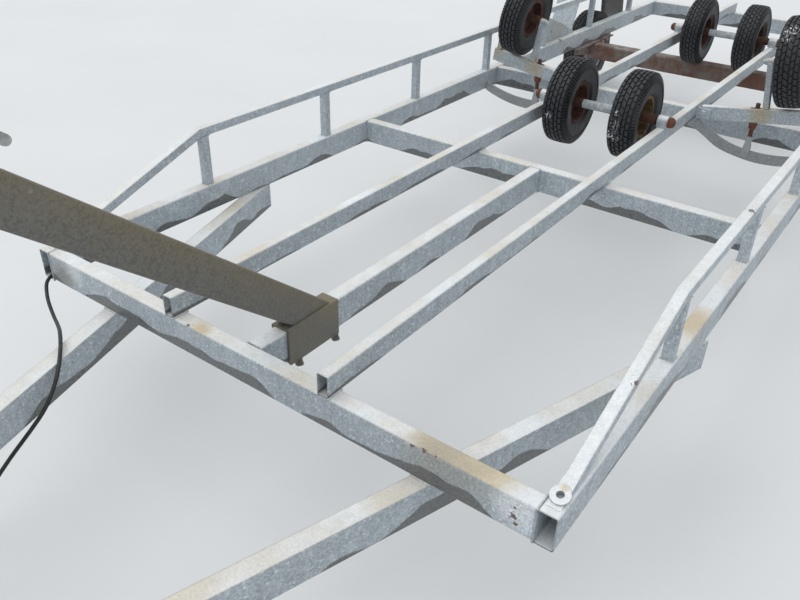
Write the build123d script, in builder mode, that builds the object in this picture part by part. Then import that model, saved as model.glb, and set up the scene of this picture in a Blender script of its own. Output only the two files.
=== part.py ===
"""Single axle boat trailer of galvanised rectangular tube, standing on its jockey wheel.

Millimetres. +X points forward to the coupling, +Y to the left side and +Z up. The origin is on the
ground under the middle of the overall length. Wheels and supports are described by tables of names
and places, and each pair is made once and mirrored across the middle plane.
"""

import math
import os

from build123d import *

os.makedirs("parts", exist_ok=True)

# Overall places along X, measured behind the front face of the front crossbeam
frame_length = 6340.0
nose_length = 2420.0
lamp_depth = 48.0
frame_top = 580.0

# Main rectangular tube
beam_height = 120.0
beam_width = 60.0
beam_wall = 4.0
frame_width = 2220.0
second_beam_at = 1952.0
third_beam_at = 3372.0

# Keel rails on top of the crossbeams
keel_height = 80.0
keel_width = 42.0
keel_wall = 3.0
keel_spacing = 686.0

# Guard rails
guard_size = 40.0
guard_wall = 3.0
guard_top = 268.0
guard_knee_at = 800.0
first_post_at = 827.0
post_pitch = 815.0
post_count = 7
guard_end_at = 26.0
guard_taper_at = 118.0
lug_at = 63.0
lug_radius = 28.0
lug_thick = 7.0
lug_hole = 11.0

# Drawbar arms under the frame
arm_rear_at = 1190.0
arm_rear_inset = 20.3
arm_front_setback = 534.0
arm_front_side = 74.62

# Drawbar nose and coupling
nose_width = 80.0
nose_wall = 5.0
nose_rear_setback = 920.0
nose_plate = 8.0
ball_radius = 25.0
ball_clearance = 0.05
coupling_width = 76.0
coupling_sheet = 6.0
ball_setback = 55.0
shaft_overlap = 120.0
socket_top = 30.0
socket_low = -6.0
handle_width = 32.0
nose_front_setback = 250.0

# Keel wheels
keel_axle_places = (("front", 2704.0), ("rear", 4882.0))
keel_axle_height = 110.0
keel_axle_radius = 15.0
keel_wheel_spacing = 380.0
sleeve_radius = 30.0
sleeve_length = 54.0
sleeve_seat = 52.0
cap_length = 36.0
cap_radius = 28.0
spacer_radius = 24.0
spacer_gap = 2.0

# Small wheels, shared by the keel and the side supports
small_tyre_radius = 235.0
small_tyre_width = 140.0
small_rim_radius = 102.0
small_flange_radius = 115.0
small_rim_width = 96.0
small_hub_radius = 25.0
small_hub_in = 76.0
small_hub_out = 118.0
small_disc = 5.0

# Road wheels
road_axle_at = 5240.0
road_tyre_radius = 317.0
road_tyre_width = 178.0
road_rim_radius = 178.0
road_flange_radius = 192.0
road_rim_width = 140.0
road_gap = 12.0
axle_tube_size = 120.0
axle_tube_at = 4965.0
axle_tube_drop = 10.0
axle_tube_wall = 6.0
axle_tube_inset = 40.0
axle_mount_width = 100.0
axle_mount_thick = 8.0
axle_mount_profile = (
    (4615.0, 0.0),
    (5284.0, 0.0),
    (5284.0, -45.0),
    (5035.0, -22.0),
    (5015.0, -6.0),
    (4915.0, -6.0),
    (4905.0, -85.0),
    (4874.0, -80.0),
    (4615.0, -40.0),
)
trailing_thick = 30.0
trailing_big_end = 50.0
trailing_small_end = 34.0
stub_radius = 20.0
stub_end_gap = 54.0
road_hub_radius = 45.0
road_hub_out = 50.0
road_disc_at = 20.0
road_sheet = 6.0

# Mudguards and the stay plates in front of them: distances behind the front and heights above the frame
mud_profile = ((4604.0, -80.0), (4727.0, 235.0), (5617.0, 235.0), (5684.0, -80.0))
mud_width = 190.0
mud_sheet = 3.0
mud_lip = 30.0
stay_profile = (
    (4120.0, 0.0),
    (4640.0, 0.0),
    (4640.0, 12.0),
    (4443.0, 93.0),
    (4185.0, 182.0),
    (4120.0, 182.0),
)
stay_thick = 6.0
stay_hole_at = 4236.0
stay_hole_high = 71.0
stay_hole_radius = 9.0

# Rear lamps
lamp_width = 230.0
lamp_height = 100.0
lamp_inset = 160.0

# Side supports
support_at = 3247.0
support_pivot_y = 402.0
support_pivot_z = 33.0
support_slope = 8.7
support_height = 80.0
support_width = 40.0
support_wall = 4.0
support_reach = 606.0
support_end = 14.0
upright_inner = 327.0
upright_gap = 250.0
upright_thick = 30.0
upright_width = 40.0
upright_wall = 4.0
support_wheel_lift = 250.0
support_axle_radius = 12.5
boss_radius = 17.0
boss_length = 12.0
pivot_bolt_radius = 10.0
pivot_head_size = 30.0
pivot_head_thick = 12.0
bracket_height = 61.0
bracket_reach = 79.0
bracket_thick = 8.0
bracket_gap = 1.0
screw_y = 674.0
screw_radius = 12.0
screw_top = 142.0
screw_pin_z = -152.0
screw_pin_radius = 8.0
screw_pin_end = 7.0
screw_pin_head = 24.0
screw_pin_head_thick = 5.0
fork_ear = 6.0
fork_width = 40.0
fork_shoulder = 8.0
fork_bridge = -100.0
neck_taper = 18.0
neck_width = 30.0
neck_top = -46.0
nut_size = 36.0
nut_height = 20.0
nut_gap = 0.4
thread_gap = 0.2
dome_radius = 30.0
dome_edge_radius = 24.0
dome_edge_height = 12.0
slot_half = 30.0
slot_radius = 14.0
plate_thick = 8.0

# Winch post
post_angle = 39.5
post_foot_at = 310.0
post_length = 1620.0
saddle_thick = 8.0
saddle_front_at = 176.0
saddle_rear_at = 428.0
saddle_low = -134.0
saddle_bolt_z = -146.0
saddle_bolts_at = (221.0, 410.0)
saddle_ear = 15.0
saddle_bolt_radius = 6.0
saddle_head = 19.0
saddle_head_thick = 8.0
saddle_floor = 6.0

# Bow stop and winch on the post
yoke_length = 90.0
yoke_height = 130.0
yoke_thick = 8.0
roller_radius = 38.0
roller_length = 44.0
roller_bore = 8.0
winch_behind = 250.0
cheek_half = 45.0
cheek_thick = 4.0
cheek_radius = 48.0
winch_base = 150.0
drum_above = 58.0
drum_radius = 20.0
flange_radius = 42.0
crank_length = 190.0
crank_width = 26.0
crank_thick = 6.0
crank_out = 18.0
grip_radius = 14.0
grip_length = 95.0

# Jockey wheel
jack_setback = 860.0
jack_out = 82.8
jack_above = 140.0
jack_low = 330.0
jack_cap = 14.0
jack_inner_length = 292.0
jack_crank = 120.0
jack_crank_above = 40.0
fork_top = 268.0
fork_length = 100.0
fork_sheet = 6.0
fork_crown = 8.0
clamp_half = 40.0
clamp_lip = 10.0
clamp_height = 96.0
clamp_drop = 228.0
jack_outer_radius = 30.0
jack_inner_radius = 24.0
jack_wall = 3.0
jack_wheel_radius = 100.0
jack_wheel_width = 50.0
jack_trail = 45.0
jack_axle_radius = 8.0

# Fits
bearing_clearance = 0.05
seat_gap = 0.3
moving_gap = 5.0

# Cable out of the front end of the right side rail
cable_radius = 7.0
coil_radius = 77.0
coil_section = 30.0
coil_behind = 30.0
plug_radius = 22.0
plug_length = 70.0
plug_ahead = 62.0
plug_side = 20.0

# Worked out places
overall_length = nose_length + frame_length + lamp_depth
front_x = overall_length / 2 - nose_length
side_y = (frame_width - beam_width) / 2
inner_y = frame_width / 2 - beam_width
keel_y = keel_spacing / 2
hub_z = road_tyre_radius
road_wheel_y = frame_width / 2 + road_gap + road_tyre_width / 2
arm_front_at = arm_front_setback - nose_length
nose_rear_at = nose_rear_setback - nose_length
arm_slope = (frame_width / 2 - arm_rear_inset - arm_front_side) / (arm_rear_at - arm_front_at)
arm_side_at_front = arm_front_side - arm_slope * arm_front_at
arm_angle = math.degrees(math.atan(arm_slope))


def back(distance):
    """X of a place that lies a distance behind the front crossbeam's front face."""
    return front_x - distance


def up(height):
    """Z of a place that lies a height above the top of the frame."""
    return frame_top + height


def tube(plane, width, height, wall, length, corner=2.0):
    """Rectangular hollow section along the plane's normal, open at both ends."""
    with BuildPart() as section:
        with BuildSketch(plane):
            RectangleRounded(width, height, corner * wall)
            RectangleRounded(width - 2 * wall, height - 2 * wall, (corner - 1) * wall, mode=Mode.SUBTRACT)
        extrude(amount=length)
    return section.part


def save(label, *solids):
    """Write one node from one or more solids."""
    group = solids[0] if len(solids) == 1 else Compound(children=list(solids))
    group.label = label
    export_step(group, f"parts/{label}.step")


def mirrored(solid):
    """The same piece on the right side."""
    return mirror(solid, about=Plane.XZ)


# Side rails with open front ends
rail_plane = Plane(origin=(back(frame_length), side_y, up(-beam_height / 2)), x_dir=(0, 1, 0), z_dir=(1, 0, 0))
side_rail = tube(rail_plane, beam_width, beam_height, beam_wall, frame_length)
save("side_rails", side_rail, mirrored(side_rail))

# Crossbeams butted between the side rails: name, distance of the front face behind the front
beam_places = (
    ("front_crossbeam", 0.0),
    ("second_crossbeam", second_beam_at),
    ("third_crossbeam", third_beam_at),
    ("rear_crossbeam", frame_length - beam_width),
)
for beam_name, beam_at in beam_places:
    beam_plane = Plane(
        origin=(back(beam_at + beam_width / 2), -inner_y, up(-beam_height / 2)), x_dir=(1, 0, 0), z_dir=(0, 1, 0)
    )
    save(beam_name, tube(beam_plane, beam_width, beam_height, beam_wall, 2 * inner_y))

# Centre rail between the front and second crossbeams
centre_plane = Plane(origin=(back(second_beam_at), 0, up(-beam_height / 2)), x_dir=(0, 1, 0), z_dir=(1, 0, 0))
save("centre_rail", tube(centre_plane, beam_width, beam_height, beam_wall, second_beam_at - beam_width))

# Keel rails on the crossbeams
keel_plane = Plane(origin=(back(frame_length), keel_y, up(keel_height / 2)), x_dir=(0, 1, 0), z_dir=(1, 0, 0))
keel_rail = tube(keel_plane, keel_width, keel_height, keel_wall, frame_length)
save("keel_rails", keel_rail, mirrored(keel_rail))

# Sleeves that hold the keel axles, each on a low saddle on its rail
sleeves = []
for place_name, axle_at in keel_axle_places:
    with BuildPart() as sleeve:
        with BuildSketch(Plane.XZ.offset(-(keel_y - sleeve_length / 2))):
            with Locations((back(axle_at), up(keel_axle_height))):
                Circle(sleeve_radius)
            with Locations((back(axle_at), up((keel_height + keel_axle_height) / 2))):
                Rectangle(sleeve_seat, keel_axle_height - keel_height)
            with Locations((back(axle_at), up(keel_axle_height))):
                Circle(keel_axle_radius + seat_gap, mode=Mode.SUBTRACT)
        extrude(amount=-sleeve_length)
    sleeves += [sleeve.part, mirrored(sleeve.part)]
save("keel_sleeves", *sleeves)

# Keel axles: a rod with a spacer tube in the middle and a domed cap at each end
axles = []
cap_y = keel_y + sleeve_length / 2 + seat_gap
spacer_end = keel_wheel_spacing / 2 - small_hub_in - spacer_gap
for place_name, axle_at in keel_axle_places:
    with BuildPart() as axle:
        with BuildSketch(Plane.XY):
            with BuildLine():
                Polyline(
                    (0, cap_y + cap_length),
                    (0, -cap_y - cap_length),
                )
                for end in (-1, 1):
                    ThreePointArc(
                        (0, end * (cap_y + cap_length)),
                        (cap_radius * 0.71, end * (cap_y + cap_length * 0.85)),
                        (cap_radius, end * (cap_y + cap_length / 2)),
                    )
                    Polyline(
                        (cap_radius, end * (cap_y + cap_length / 2)),
                        (cap_radius, end * cap_y),
                        (keel_axle_radius, end * cap_y),
                        (keel_axle_radius, end * spacer_end),
                        (spacer_radius, end * spacer_end),
                    )
                Line((spacer_radius, -spacer_end), (spacer_radius, spacer_end))
            make_face()
        revolve(axis=Axis.Y)
    axles.append(Pos(back(axle_at), 0, up(keel_axle_height)) * axle.part)
save("keel_axles", *axles)


def tyre(radius, width, rim_radius, flange_radius, bead_half):
    """Tyre turned about Y: flat tread, round shoulders, bulged sidewalls and beads inside the flanges."""
    bead_radius = rim_radius + seat_gap
    over_flange = flange_radius + seat_gap
    tread = (radius, width * 0.34)
    shoulder = (radius - width * 0.1, width * 0.42)
    bulge = (over_flange + (radius - over_flange) * 0.42, width * 0.5)
    with BuildPart() as carcass:
        with BuildSketch(Plane.XY):
            with BuildLine():
                Line((bead_radius, -bead_half), (bead_radius, bead_half))
                Line((tread[0], -tread[1]), tread)
                for end in (-1, 1):
                    Line((bead_radius, end * bead_half), (over_flange, end * bead_half))
                    ThreePointArc(
                        (over_flange, end * bead_half),
                        (bulge[0], end * bulge[1]),
                        (shoulder[0], end * shoulder[1]),
                    )
                    Line((shoulder[0], end * shoulder[1]), (tread[0], end * tread[1]))
            make_face()
        revolve(axis=Axis.Y)
    return carcass.part


def wheel_rim(bore, hub_radius, hub_low, hub_high, barrel, flange, half, sheet, disc_at):
    """Rim turned about Y: hub tube, flat disc at a place along it, barrel and two flanges."""
    with BuildPart() as rim:
        with BuildSketch(Plane.XY):
            with BuildLine():
                Polyline(
                    (bore, hub_low),
                    (hub_radius, hub_low),
                    (hub_radius, disc_at - sheet / 2),
                    (barrel - sheet, disc_at - sheet / 2),
                    (barrel - sheet, -half),
                    (flange, -half),
                    (flange, -half + sheet),
                    (barrel, -half + sheet),
                    (barrel, half - sheet),
                    (flange, half - sheet),
                    (flange, half),
                    (barrel - sheet, half),
                    (barrel - sheet, disc_at + sheet / 2),
                    (hub_radius, disc_at + sheet / 2),
                    (hub_radius, hub_high),
                    (bore, hub_high),
                    close=True,
                )
            make_face()
        revolve(axis=Axis.Y)
    return rim.part


# Keel wheels: name, place of the axle, side
small_rim_part = wheel_rim(
    keel_axle_radius + bearing_clearance,
    small_hub_radius,
    -small_hub_in,
    small_hub_out,
    small_rim_radius,
    small_flange_radius,
    small_rim_width / 2 + small_disc,
    small_disc,
    0.0,
)
small_tyre_part = tyre(
    small_tyre_radius, small_tyre_width, small_rim_radius, small_flange_radius, small_rim_width / 2 - seat_gap
)
for place_name, axle_at in keel_axle_places:
    at_left = Pos(back(axle_at), keel_wheel_spacing / 2, up(keel_axle_height))
    save(f"keel_{place_name}_left_tyre", at_left * small_tyre_part)
    save(f"keel_{place_name}_left_rim", at_left * small_rim_part)
    save(f"keel_{place_name}_right_tyre", mirrored(at_left * small_tyre_part))
    save(f"keel_{place_name}_right_rim", mirrored(at_left * small_rim_part))

# Guard rails: a long level tube, a sloping tube to the front and posts under them
guard_slope = math.atan2(guard_top, guard_knee_at - guard_end_at)
guard_fall = (math.cos(guard_slope), 0, -math.sin(guard_slope))
guard_out = (math.sin(guard_slope), 0, math.cos(guard_slope))
guard_rear_plane = Plane(
    origin=(back(frame_length), side_y, up(guard_top - guard_size / 2)), x_dir=(0, 1, 0), z_dir=(1, 0, 0)
)
knee = (back(guard_knee_at), side_y, up(guard_top))
guard_mitre = Plane(origin=knee, z_dir=(math.cos(guard_slope / 2), 0, -math.sin(guard_slope / 2)))
level_tube = tube(guard_rear_plane, guard_size, guard_size, guard_wall, frame_length - guard_knee_at + guard_size)
level_tube = split(level_tube, bisect_by=guard_mitre, keep=Keep.BOTTOM)
slope_start = tuple(knee[i] - guard_size * guard_fall[i] - guard_size / 2 * guard_out[i] for i in range(3))
slope_length = math.hypot(guard_knee_at - guard_end_at, guard_top) + 2 * guard_size
slope_plane = Plane(origin=slope_start, x_dir=(0, 1, 0), z_dir=guard_fall)
slope_tube = tube(slope_plane, guard_size, guard_size, guard_wall, slope_length)
slope_tube = split(slope_tube, bisect_by=guard_mitre, keep=Keep.TOP)
slope_tube = split(slope_tube, bisect_by=Plane.YZ.offset(back(guard_taper_at)), keep=Keep.BOTTOM)
slope_tube = split(slope_tube, bisect_by=Plane.XY.offset(up(0)), keep=Keep.TOP)
guard_solids = [level_tube, slope_tube]
for n in range(post_count):
    post_x = back(first_post_at + n * post_pitch)
    guard_solids.append(
        tube(Plane(origin=(post_x, side_y, up(0))), guard_size, guard_size, guard_wall, guard_top - guard_size)
    )
save("guard_rails", *guard_solids, *[mirrored(solid) for solid in guard_solids])

# Drilled lugs that close the sloping tubes' front ends on the side rails
lug_centre = (back(lug_at), side_y, up(guard_top - (guard_knee_at - lug_at) * math.tan(guard_slope)))
with BuildPart() as lug:
    with BuildSketch(Plane.XZ.offset(-(side_y - guard_size / 2))):
        with BuildLine():
            Polyline(
                (back(guard_taper_at), up(0)),
                (back(guard_taper_at), up((guard_taper_at - guard_end_at) * math.tan(guard_slope))),
                (back(guard_end_at), up(0)),
                close=True,
            )
        make_face()
    extrude(amount=-guard_size)
    with BuildSketch(Plane(origin=lug_centre, z_dir=guard_out)):
        Circle(lug_radius)
    extrude(amount=lug_thick)
    with BuildSketch(Plane(origin=lug_centre, z_dir=guard_out).offset(-2 * guard_size)):
        Circle(lug_hole)
    extrude(amount=3 * guard_size, mode=Mode.SUBTRACT)
    split(bisect_by=Plane.XY.offset(up(0)), keep=Keep.TOP)
save("guard_lugs", lug.part, mirrored(lug.part))

# Drawbar arms on edge under the side rails and the front crossbeam
arm_rear_x = back(arm_rear_at)
arm_front_x = back(arm_front_at)
arm_half = beam_width / 2 / math.cos(math.radians(arm_angle))


def arm_side(x):
    """Y of the left arm's centre line at a place along X."""
    return arm_side_at_front - arm_slope * (x - front_x)


with BuildPart() as arm:
    with BuildSketch(Plane.XY.offset(up(-2 * beam_height))):
        with BuildLine():
            Polyline(
                (arm_rear_x, arm_side(arm_rear_x) - arm_half),
                (arm_rear_x, arm_side(arm_rear_x) + arm_half),
                (arm_front_x, arm_side(arm_front_x) + arm_half),
                (arm_front_x, arm_side(arm_front_x) - arm_half),
                close=True,
            )
        make_face()
    extrude(amount=beam_height)
    shell_x = arm_rear_x - beam_width
    shell_plane = Plane(
        origin=(shell_x, arm_side(shell_x), up(-1.5 * beam_height)),
        x_dir=(arm_slope, 1, 0),
        z_dir=(1, -arm_slope, 0),
    )
    with BuildSketch(shell_plane):
        RectangleRounded(beam_width - 2 * beam_wall, beam_height - 2 * beam_wall, beam_wall)
    extrude(amount=1.2 * (arm_rear_at - arm_front_at), mode=Mode.SUBTRACT)
save("drawbar_arms", arm.part, mirrored(arm.part))

# Drawbar nose: a short box between the arms' front ends that carries the coupling
nose_plane = Plane(
    origin=(back(nose_rear_at), 0, up(-1.5 * beam_height)), x_dir=(0, 1, 0), z_dir=(1, 0, 0)
)
nose_front_at = -nose_length + nose_front_setback
nose_box = tube(nose_plane, nose_width, beam_height, nose_wall, nose_rear_at - nose_front_at, 1.5)
nose_solids = [nose_box]
for plate_z in (up(-beam_height), up(-2 * beam_height) - nose_plate):
    with BuildPart() as gusset:
        with BuildSketch(Plane.XY.offset(plate_z)):
            with BuildLine():
                Polyline(
                    (back(nose_rear_at), -arm_side(back(nose_rear_at))),
                    (back(nose_rear_at), arm_side(back(nose_rear_at))),
                    (arm_front_x, arm_side(arm_front_x)),
                    (arm_front_x, -arm_side(arm_front_x)),
                    close=True,
                )
            make_face()
        extrude(amount=nose_plate)
    nose_solids.append(gusset.part)
save("drawbar_nose", *nose_solids)

# Coupling head: a pressed sheet over the nose's top, open below, with a handle over it.
# Both profiles give the distance ahead of the ball and the height above its centre.
coupling_z = up(-1.5 * beam_height)
ball_x = back(-nose_length + ball_setback)
nose_front_x = back(nose_front_at)
nose_top_z = coupling_z + beam_height / 2 + seat_gap
cup_profile = ((-90, 72), (-40, 45), (35, 40), (55, 20), (55, -6), (-70, -6))
handle_profile = ((15, 38), (12, 62), (-60, 84), (-150, 96), (-150, 88), (-60, 74), (-8, 54), (-12, 38))
coupling_outline = (
    (nose_front_x - shaft_overlap, nose_top_z),
    (nose_front_x - shaft_overlap, coupling_z + cup_profile[0][1]),
    *[(ball_x + ahead, coupling_z + height) for ahead, height in cup_profile],
    (nose_front_x + seat_gap, coupling_z + beam_height / 4),
    (nose_front_x + seat_gap, nose_top_z),
)
with BuildPart() as coupling:
    with BuildSketch(Plane.XZ.offset(-coupling_width / 2)):
        with BuildLine():
            Polyline(*coupling_outline, close=True)
        make_face()
    extrude(amount=coupling_width)
    with BuildSketch(Plane.XZ.offset(coupling_sheet - coupling_width / 2)):
        with BuildLine():
            Polyline(*[(x - coupling_sheet, z - coupling_sheet) for x, z in coupling_outline], close=True)
        make_face()
    extrude(amount=coupling_width - 2 * coupling_sheet, mode=Mode.SUBTRACT)
    with BuildSketch(Plane.XZ.offset(-handle_width / 2)):
        with BuildLine():
            Polyline(*[(ball_x + ahead, coupling_z + height) for ahead, height in handle_profile], close=True)
        make_face()
    extrude(amount=handle_width)
save("coupling_head", coupling.part)

# Ball socket between the head's side walls, open below
with BuildPart() as socket:
    with BuildSketch(Plane.XY.offset(coupling_z + socket_low)):
        with Locations((ball_x, 0)):
            Circle(coupling_width / 2 - coupling_sheet - seat_gap)
    extrude(amount=socket_top - socket_low)
    with BuildSketch(Plane.XY.offset(coupling_z)):
        with Locations((ball_x, 0)):
            Circle(ball_radius + ball_clearance)
    extrude(amount=-ball_radius, mode=Mode.SUBTRACT)
    with Locations((ball_x, 0, coupling_z)):
        Sphere(ball_radius + ball_clearance, mode=Mode.SUBTRACT)
save("ball_socket", socket.part)

# Winch post: sloping tube from the centre rail up and forward over the drawbar
post_dir = (math.cos(math.radians(post_angle)), 0, math.sin(math.radians(post_angle)))
foot = (back(post_foot_at), 0, up(0))
with BuildPart() as winch_post:
    with BuildSketch(Plane(origin=foot, x_dir=(0, 1, 0), z_dir=post_dir)):
        RectangleRounded(beam_width, beam_height, 2 * beam_wall)
        RectangleRounded(beam_width - 2 * beam_wall, beam_height - 2 * beam_wall, beam_wall, mode=Mode.SUBTRACT)
    extrude(amount=post_length)
    with BuildSketch(Plane(origin=foot, x_dir=(0, 1, 0), z_dir=tuple(-c for c in post_dir))):
        RectangleRounded(beam_width, beam_height, 2 * beam_wall)
        RectangleRounded(beam_width - 2 * beam_wall, beam_height - 2 * beam_wall, beam_wall, mode=Mode.SUBTRACT)
    extrude(amount=beam_height)
    split(bisect_by=Plane.XY.offset(up(seat_gap + saddle_thick)), keep=Keep.TOP)
save("winch_post", winch_post.part)

# Saddle over the centre rail under the post: a top, two legs with ears and bolts across below the rail
saddle_side = beam_width / 2 + seat_gap
with BuildPart() as saddle:
    with BuildSketch(Plane.YZ.offset(back(saddle_rear_at))):
        with BuildLine():
            Polyline(
                (-saddle_side - saddle_thick, up(saddle_low)),
                (-saddle_side, up(saddle_low)),
                (-saddle_side, up(seat_gap)),
                (saddle_side, up(seat_gap)),
                (saddle_side, up(saddle_low)),
                (saddle_side + saddle_thick, up(saddle_low)),
                (saddle_side + saddle_thick, up(seat_gap + saddle_thick)),
                (-saddle_side - saddle_thick, up(seat_gap + saddle_thick)),
                close=True,
            )
        make_face()
    extrude(amount=saddle_rear_at - saddle_front_at)
    fillet(saddle.edges().filter_by(Axis.X).group_by(Axis.Z)[-1], saddle_thick * 0.8)
    for bolt_at in saddle_bolts_at:
        for leg_y in (saddle_side, -saddle_side - saddle_thick):
            with BuildSketch(Plane.XZ.offset(-leg_y)):
                with Locations((back(bolt_at), up(saddle_bolt_z))):
                    Circle(saddle_ear)
                with Locations((back(bolt_at), up(saddle_bolt_z / 2 + saddle_low / 2 + saddle_thick / 2))):
                    Rectangle(2 * saddle_ear, saddle_low - saddle_bolt_z + saddle_thick)
            extrude(amount=-saddle_thick)
        bolt_end = saddle_side + saddle_thick + saddle_head_thick + saddle_bolt_radius
        with BuildSketch(Plane.XZ.offset(bolt_end)):
            with Locations((back(bolt_at), up(saddle_bolt_z))):
                Circle(saddle_bolt_radius)
        extrude(amount=-2 * bolt_end)
        for head_y in (saddle_side + saddle_thick, -saddle_side - saddle_thick - saddle_head_thick):
            with BuildSketch(Plane.XZ.offset(-head_y)):
                with Locations((back(bolt_at), up(saddle_bolt_z))):
                    RegularPolygon(saddle_head / 2, 6, major_radius=False)
            extrude(amount=-saddle_head_thick)
    with BuildSketch(Plane.XY.offset(up(-beam_height - seat_gap))):
        with Locations((back((saddle_front_at + saddle_rear_at) / 2), 0)):
            Rectangle(saddle_rear_at - saddle_front_at, 2 * saddle_side)
    extrude(amount=-saddle_floor)
save("post_clamp", saddle.part)

# Bow stop: a yoke on the post's top end with a rubber roller between its cheeks
post_top = tuple(foot[i] + post_dir[i] * post_length for i in range(3))
normal_dir = (-post_dir[2], 0, post_dir[0])
stop_low = beam_height / 2 + seat_gap
yoke_middle = yoke_length / 2 + saddle_thick
with BuildPart() as yoke:
    with BuildSketch(Plane(origin=post_top, x_dir=post_dir, z_dir=(0, -1, 0)).offset(-beam_width / 2)):
        with Locations((-yoke_middle, stop_low + yoke_height / 2)):
            Rectangle(yoke_length, yoke_height)
    extrude(amount=yoke_thick)
    mirror(about=Plane.XZ)
    with BuildSketch(Plane(origin=post_top, x_dir=(0, 1, 0), z_dir=normal_dir).offset(stop_low)):
        with Locations((0, yoke_middle)):
            Rectangle(beam_width, yoke_length)
    extrude(amount=yoke_thick)
save("bow_stop", yoke.part)

roller_high = stop_low + yoke_height * 0.7
roller_at = tuple(post_top[i] - yoke_middle * post_dir[i] + roller_high * normal_dir[i] for i in range(3))
with BuildPart() as roller:
    with BuildSketch(Plane(origin=(roller_at[0], -roller_length / 2, roller_at[2]), z_dir=(0, 1, 0))):
        Circle(roller_radius)
        Circle(roller_bore, mode=Mode.SUBTRACT)
    extrude(amount=roller_length)
save("bow_roller", roller.part)

# Winch on the post's upper face below the stop: a frame with rounded cheeks, a flanged drum and a crank
winch_at = tuple(post_top[i] - winch_behind * post_dir[i] for i in range(3))
drum_high = stop_low + drum_above
with BuildPart() as winch:
    winch_plane = Plane(origin=winch_at, x_dir=post_dir, z_dir=(0, -1, 0))
    for cheek_offset in (-cheek_half, cheek_half - cheek_thick):
        with BuildSketch(winch_plane.offset(cheek_offset)):
            with Locations((0, stop_low + drum_above / 2)):
                Rectangle(winch_base, drum_above)
            with Locations((0, drum_high)):
                Circle(cheek_radius)
        extrude(amount=cheek_thick)
    with BuildSketch(winch_plane.offset(-cheek_half)):
        with Locations((0, stop_low + cheek_thick / 2)):
            Rectangle(winch_base, cheek_thick)
        with Locations((0, drum_high)):
            Circle(drum_radius)
    extrude(amount=2 * cheek_half)
    for flange_offset in (-cheek_half + 2 * cheek_thick, cheek_half - 3 * cheek_thick):
        with BuildSketch(winch_plane.offset(flange_offset)):
            with Locations((0, drum_high)):
                Circle(flange_radius)
        extrude(amount=cheek_thick)
    with BuildSketch(winch_plane.offset(cheek_half)):
        with Locations((0, drum_high)):
            Circle(drum_radius / 2)
    extrude(amount=crank_out + crank_thick)
    with BuildSketch(winch_plane.offset(cheek_half + crank_out)):
        with Locations((-crank_length / 2, drum_high)):
            SlotCenterToCenter(crank_length, crank_width)
    extrude(amount=crank_thick)
    with BuildSketch(winch_plane.offset(cheek_half + crank_out + crank_thick)):
        with Locations((-crank_length, drum_high)):
            Circle(grip_radius)
    extrude(amount=grip_length)
save("winch", winch.part)

# Side supports, made on the left and mirrored
slope = math.radians(support_slope)
support_x = back(support_at)
along = (0, math.cos(slope), math.sin(slope))
across = (0, -math.sin(slope), math.cos(slope))
pivot = (support_x, support_pivot_y, up(support_pivot_z))


def on_arm(distance, height):
    """A place on the left support arm: distance along it and height across it, from its pivot."""
    return tuple(pivot[i] + distance * along[i] + height * across[i] for i in range(3))


arm_plane = Plane(origin=pivot, x_dir=along, z_dir=(1, 0, 0))
screw_along = (screw_y - support_pivot_y) / math.cos(slope)
wheel_up = support_height / 2 + support_wheel_lift
with BuildPart() as support_arm:
    with BuildSketch(Plane(origin=on_arm(-support_end, 0), x_dir=(1, 0, 0), z_dir=along)):
        RectangleRounded(support_width, support_height, 2 * support_wall)
        RectangleRounded(
            support_width - 2 * support_wall, support_height - 2 * support_wall, support_wall, mode=Mode.SUBTRACT
        )
    extrude(amount=support_reach + support_end)
    with BuildSketch(arm_plane.offset(-support_width / 2)):
        Circle(pivot_bolt_radius + bearing_clearance)
    extrude(amount=support_width, mode=Mode.SUBTRACT)
    with BuildSketch(Plane(origin=on_arm(screw_along, -support_height), x_dir=along, z_dir=across)):
        SlotCenterToCenter(2 * (slot_half - slot_radius), 2 * slot_radius)
    extrude(amount=2 * support_height, mode=Mode.SUBTRACT)
    for upright_at, wheel_side in ((upright_inner, 1), (upright_inner + upright_gap, -1)):
        with BuildSketch(Plane(origin=on_arm(upright_at, support_height / 2), x_dir=(1, 0, 0), z_dir=across)):
            Rectangle(upright_width, upright_thick)
            with Locations((0, wheel_side * upright_wall)):
                Rectangle(upright_width - 2 * upright_wall, upright_thick, mode=Mode.SUBTRACT)
        extrude(amount=support_wheel_lift)
        top_plane = Plane(origin=on_arm(upright_at - upright_thick / 2, wheel_up), x_dir=(1, 0, 0), z_dir=along)
        with BuildSketch(top_plane):
            Circle(upright_width / 2)
        extrude(amount=upright_thick)
        boss_start = upright_at - wheel_side * upright_thick / 2 - (boss_length if wheel_side > 0 else 0)
        with BuildSketch(Plane(origin=on_arm(boss_start, wheel_up), x_dir=(1, 0, 0), z_dir=along)):
            Circle(boss_radius)
        extrude(amount=boss_length)
    axle_start = upright_inner - upright_thick / 2 - 2 * boss_length
    with BuildSketch(Plane(origin=on_arm(axle_start, wheel_up), x_dir=(1, 0, 0), z_dir=along)):
        Circle(support_axle_radius)
    extrude(amount=upright_gap + upright_thick + 4 * boss_length)
save("support_arm_left", support_arm.part)
save("support_arm_right", mirrored(support_arm.part))

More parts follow.
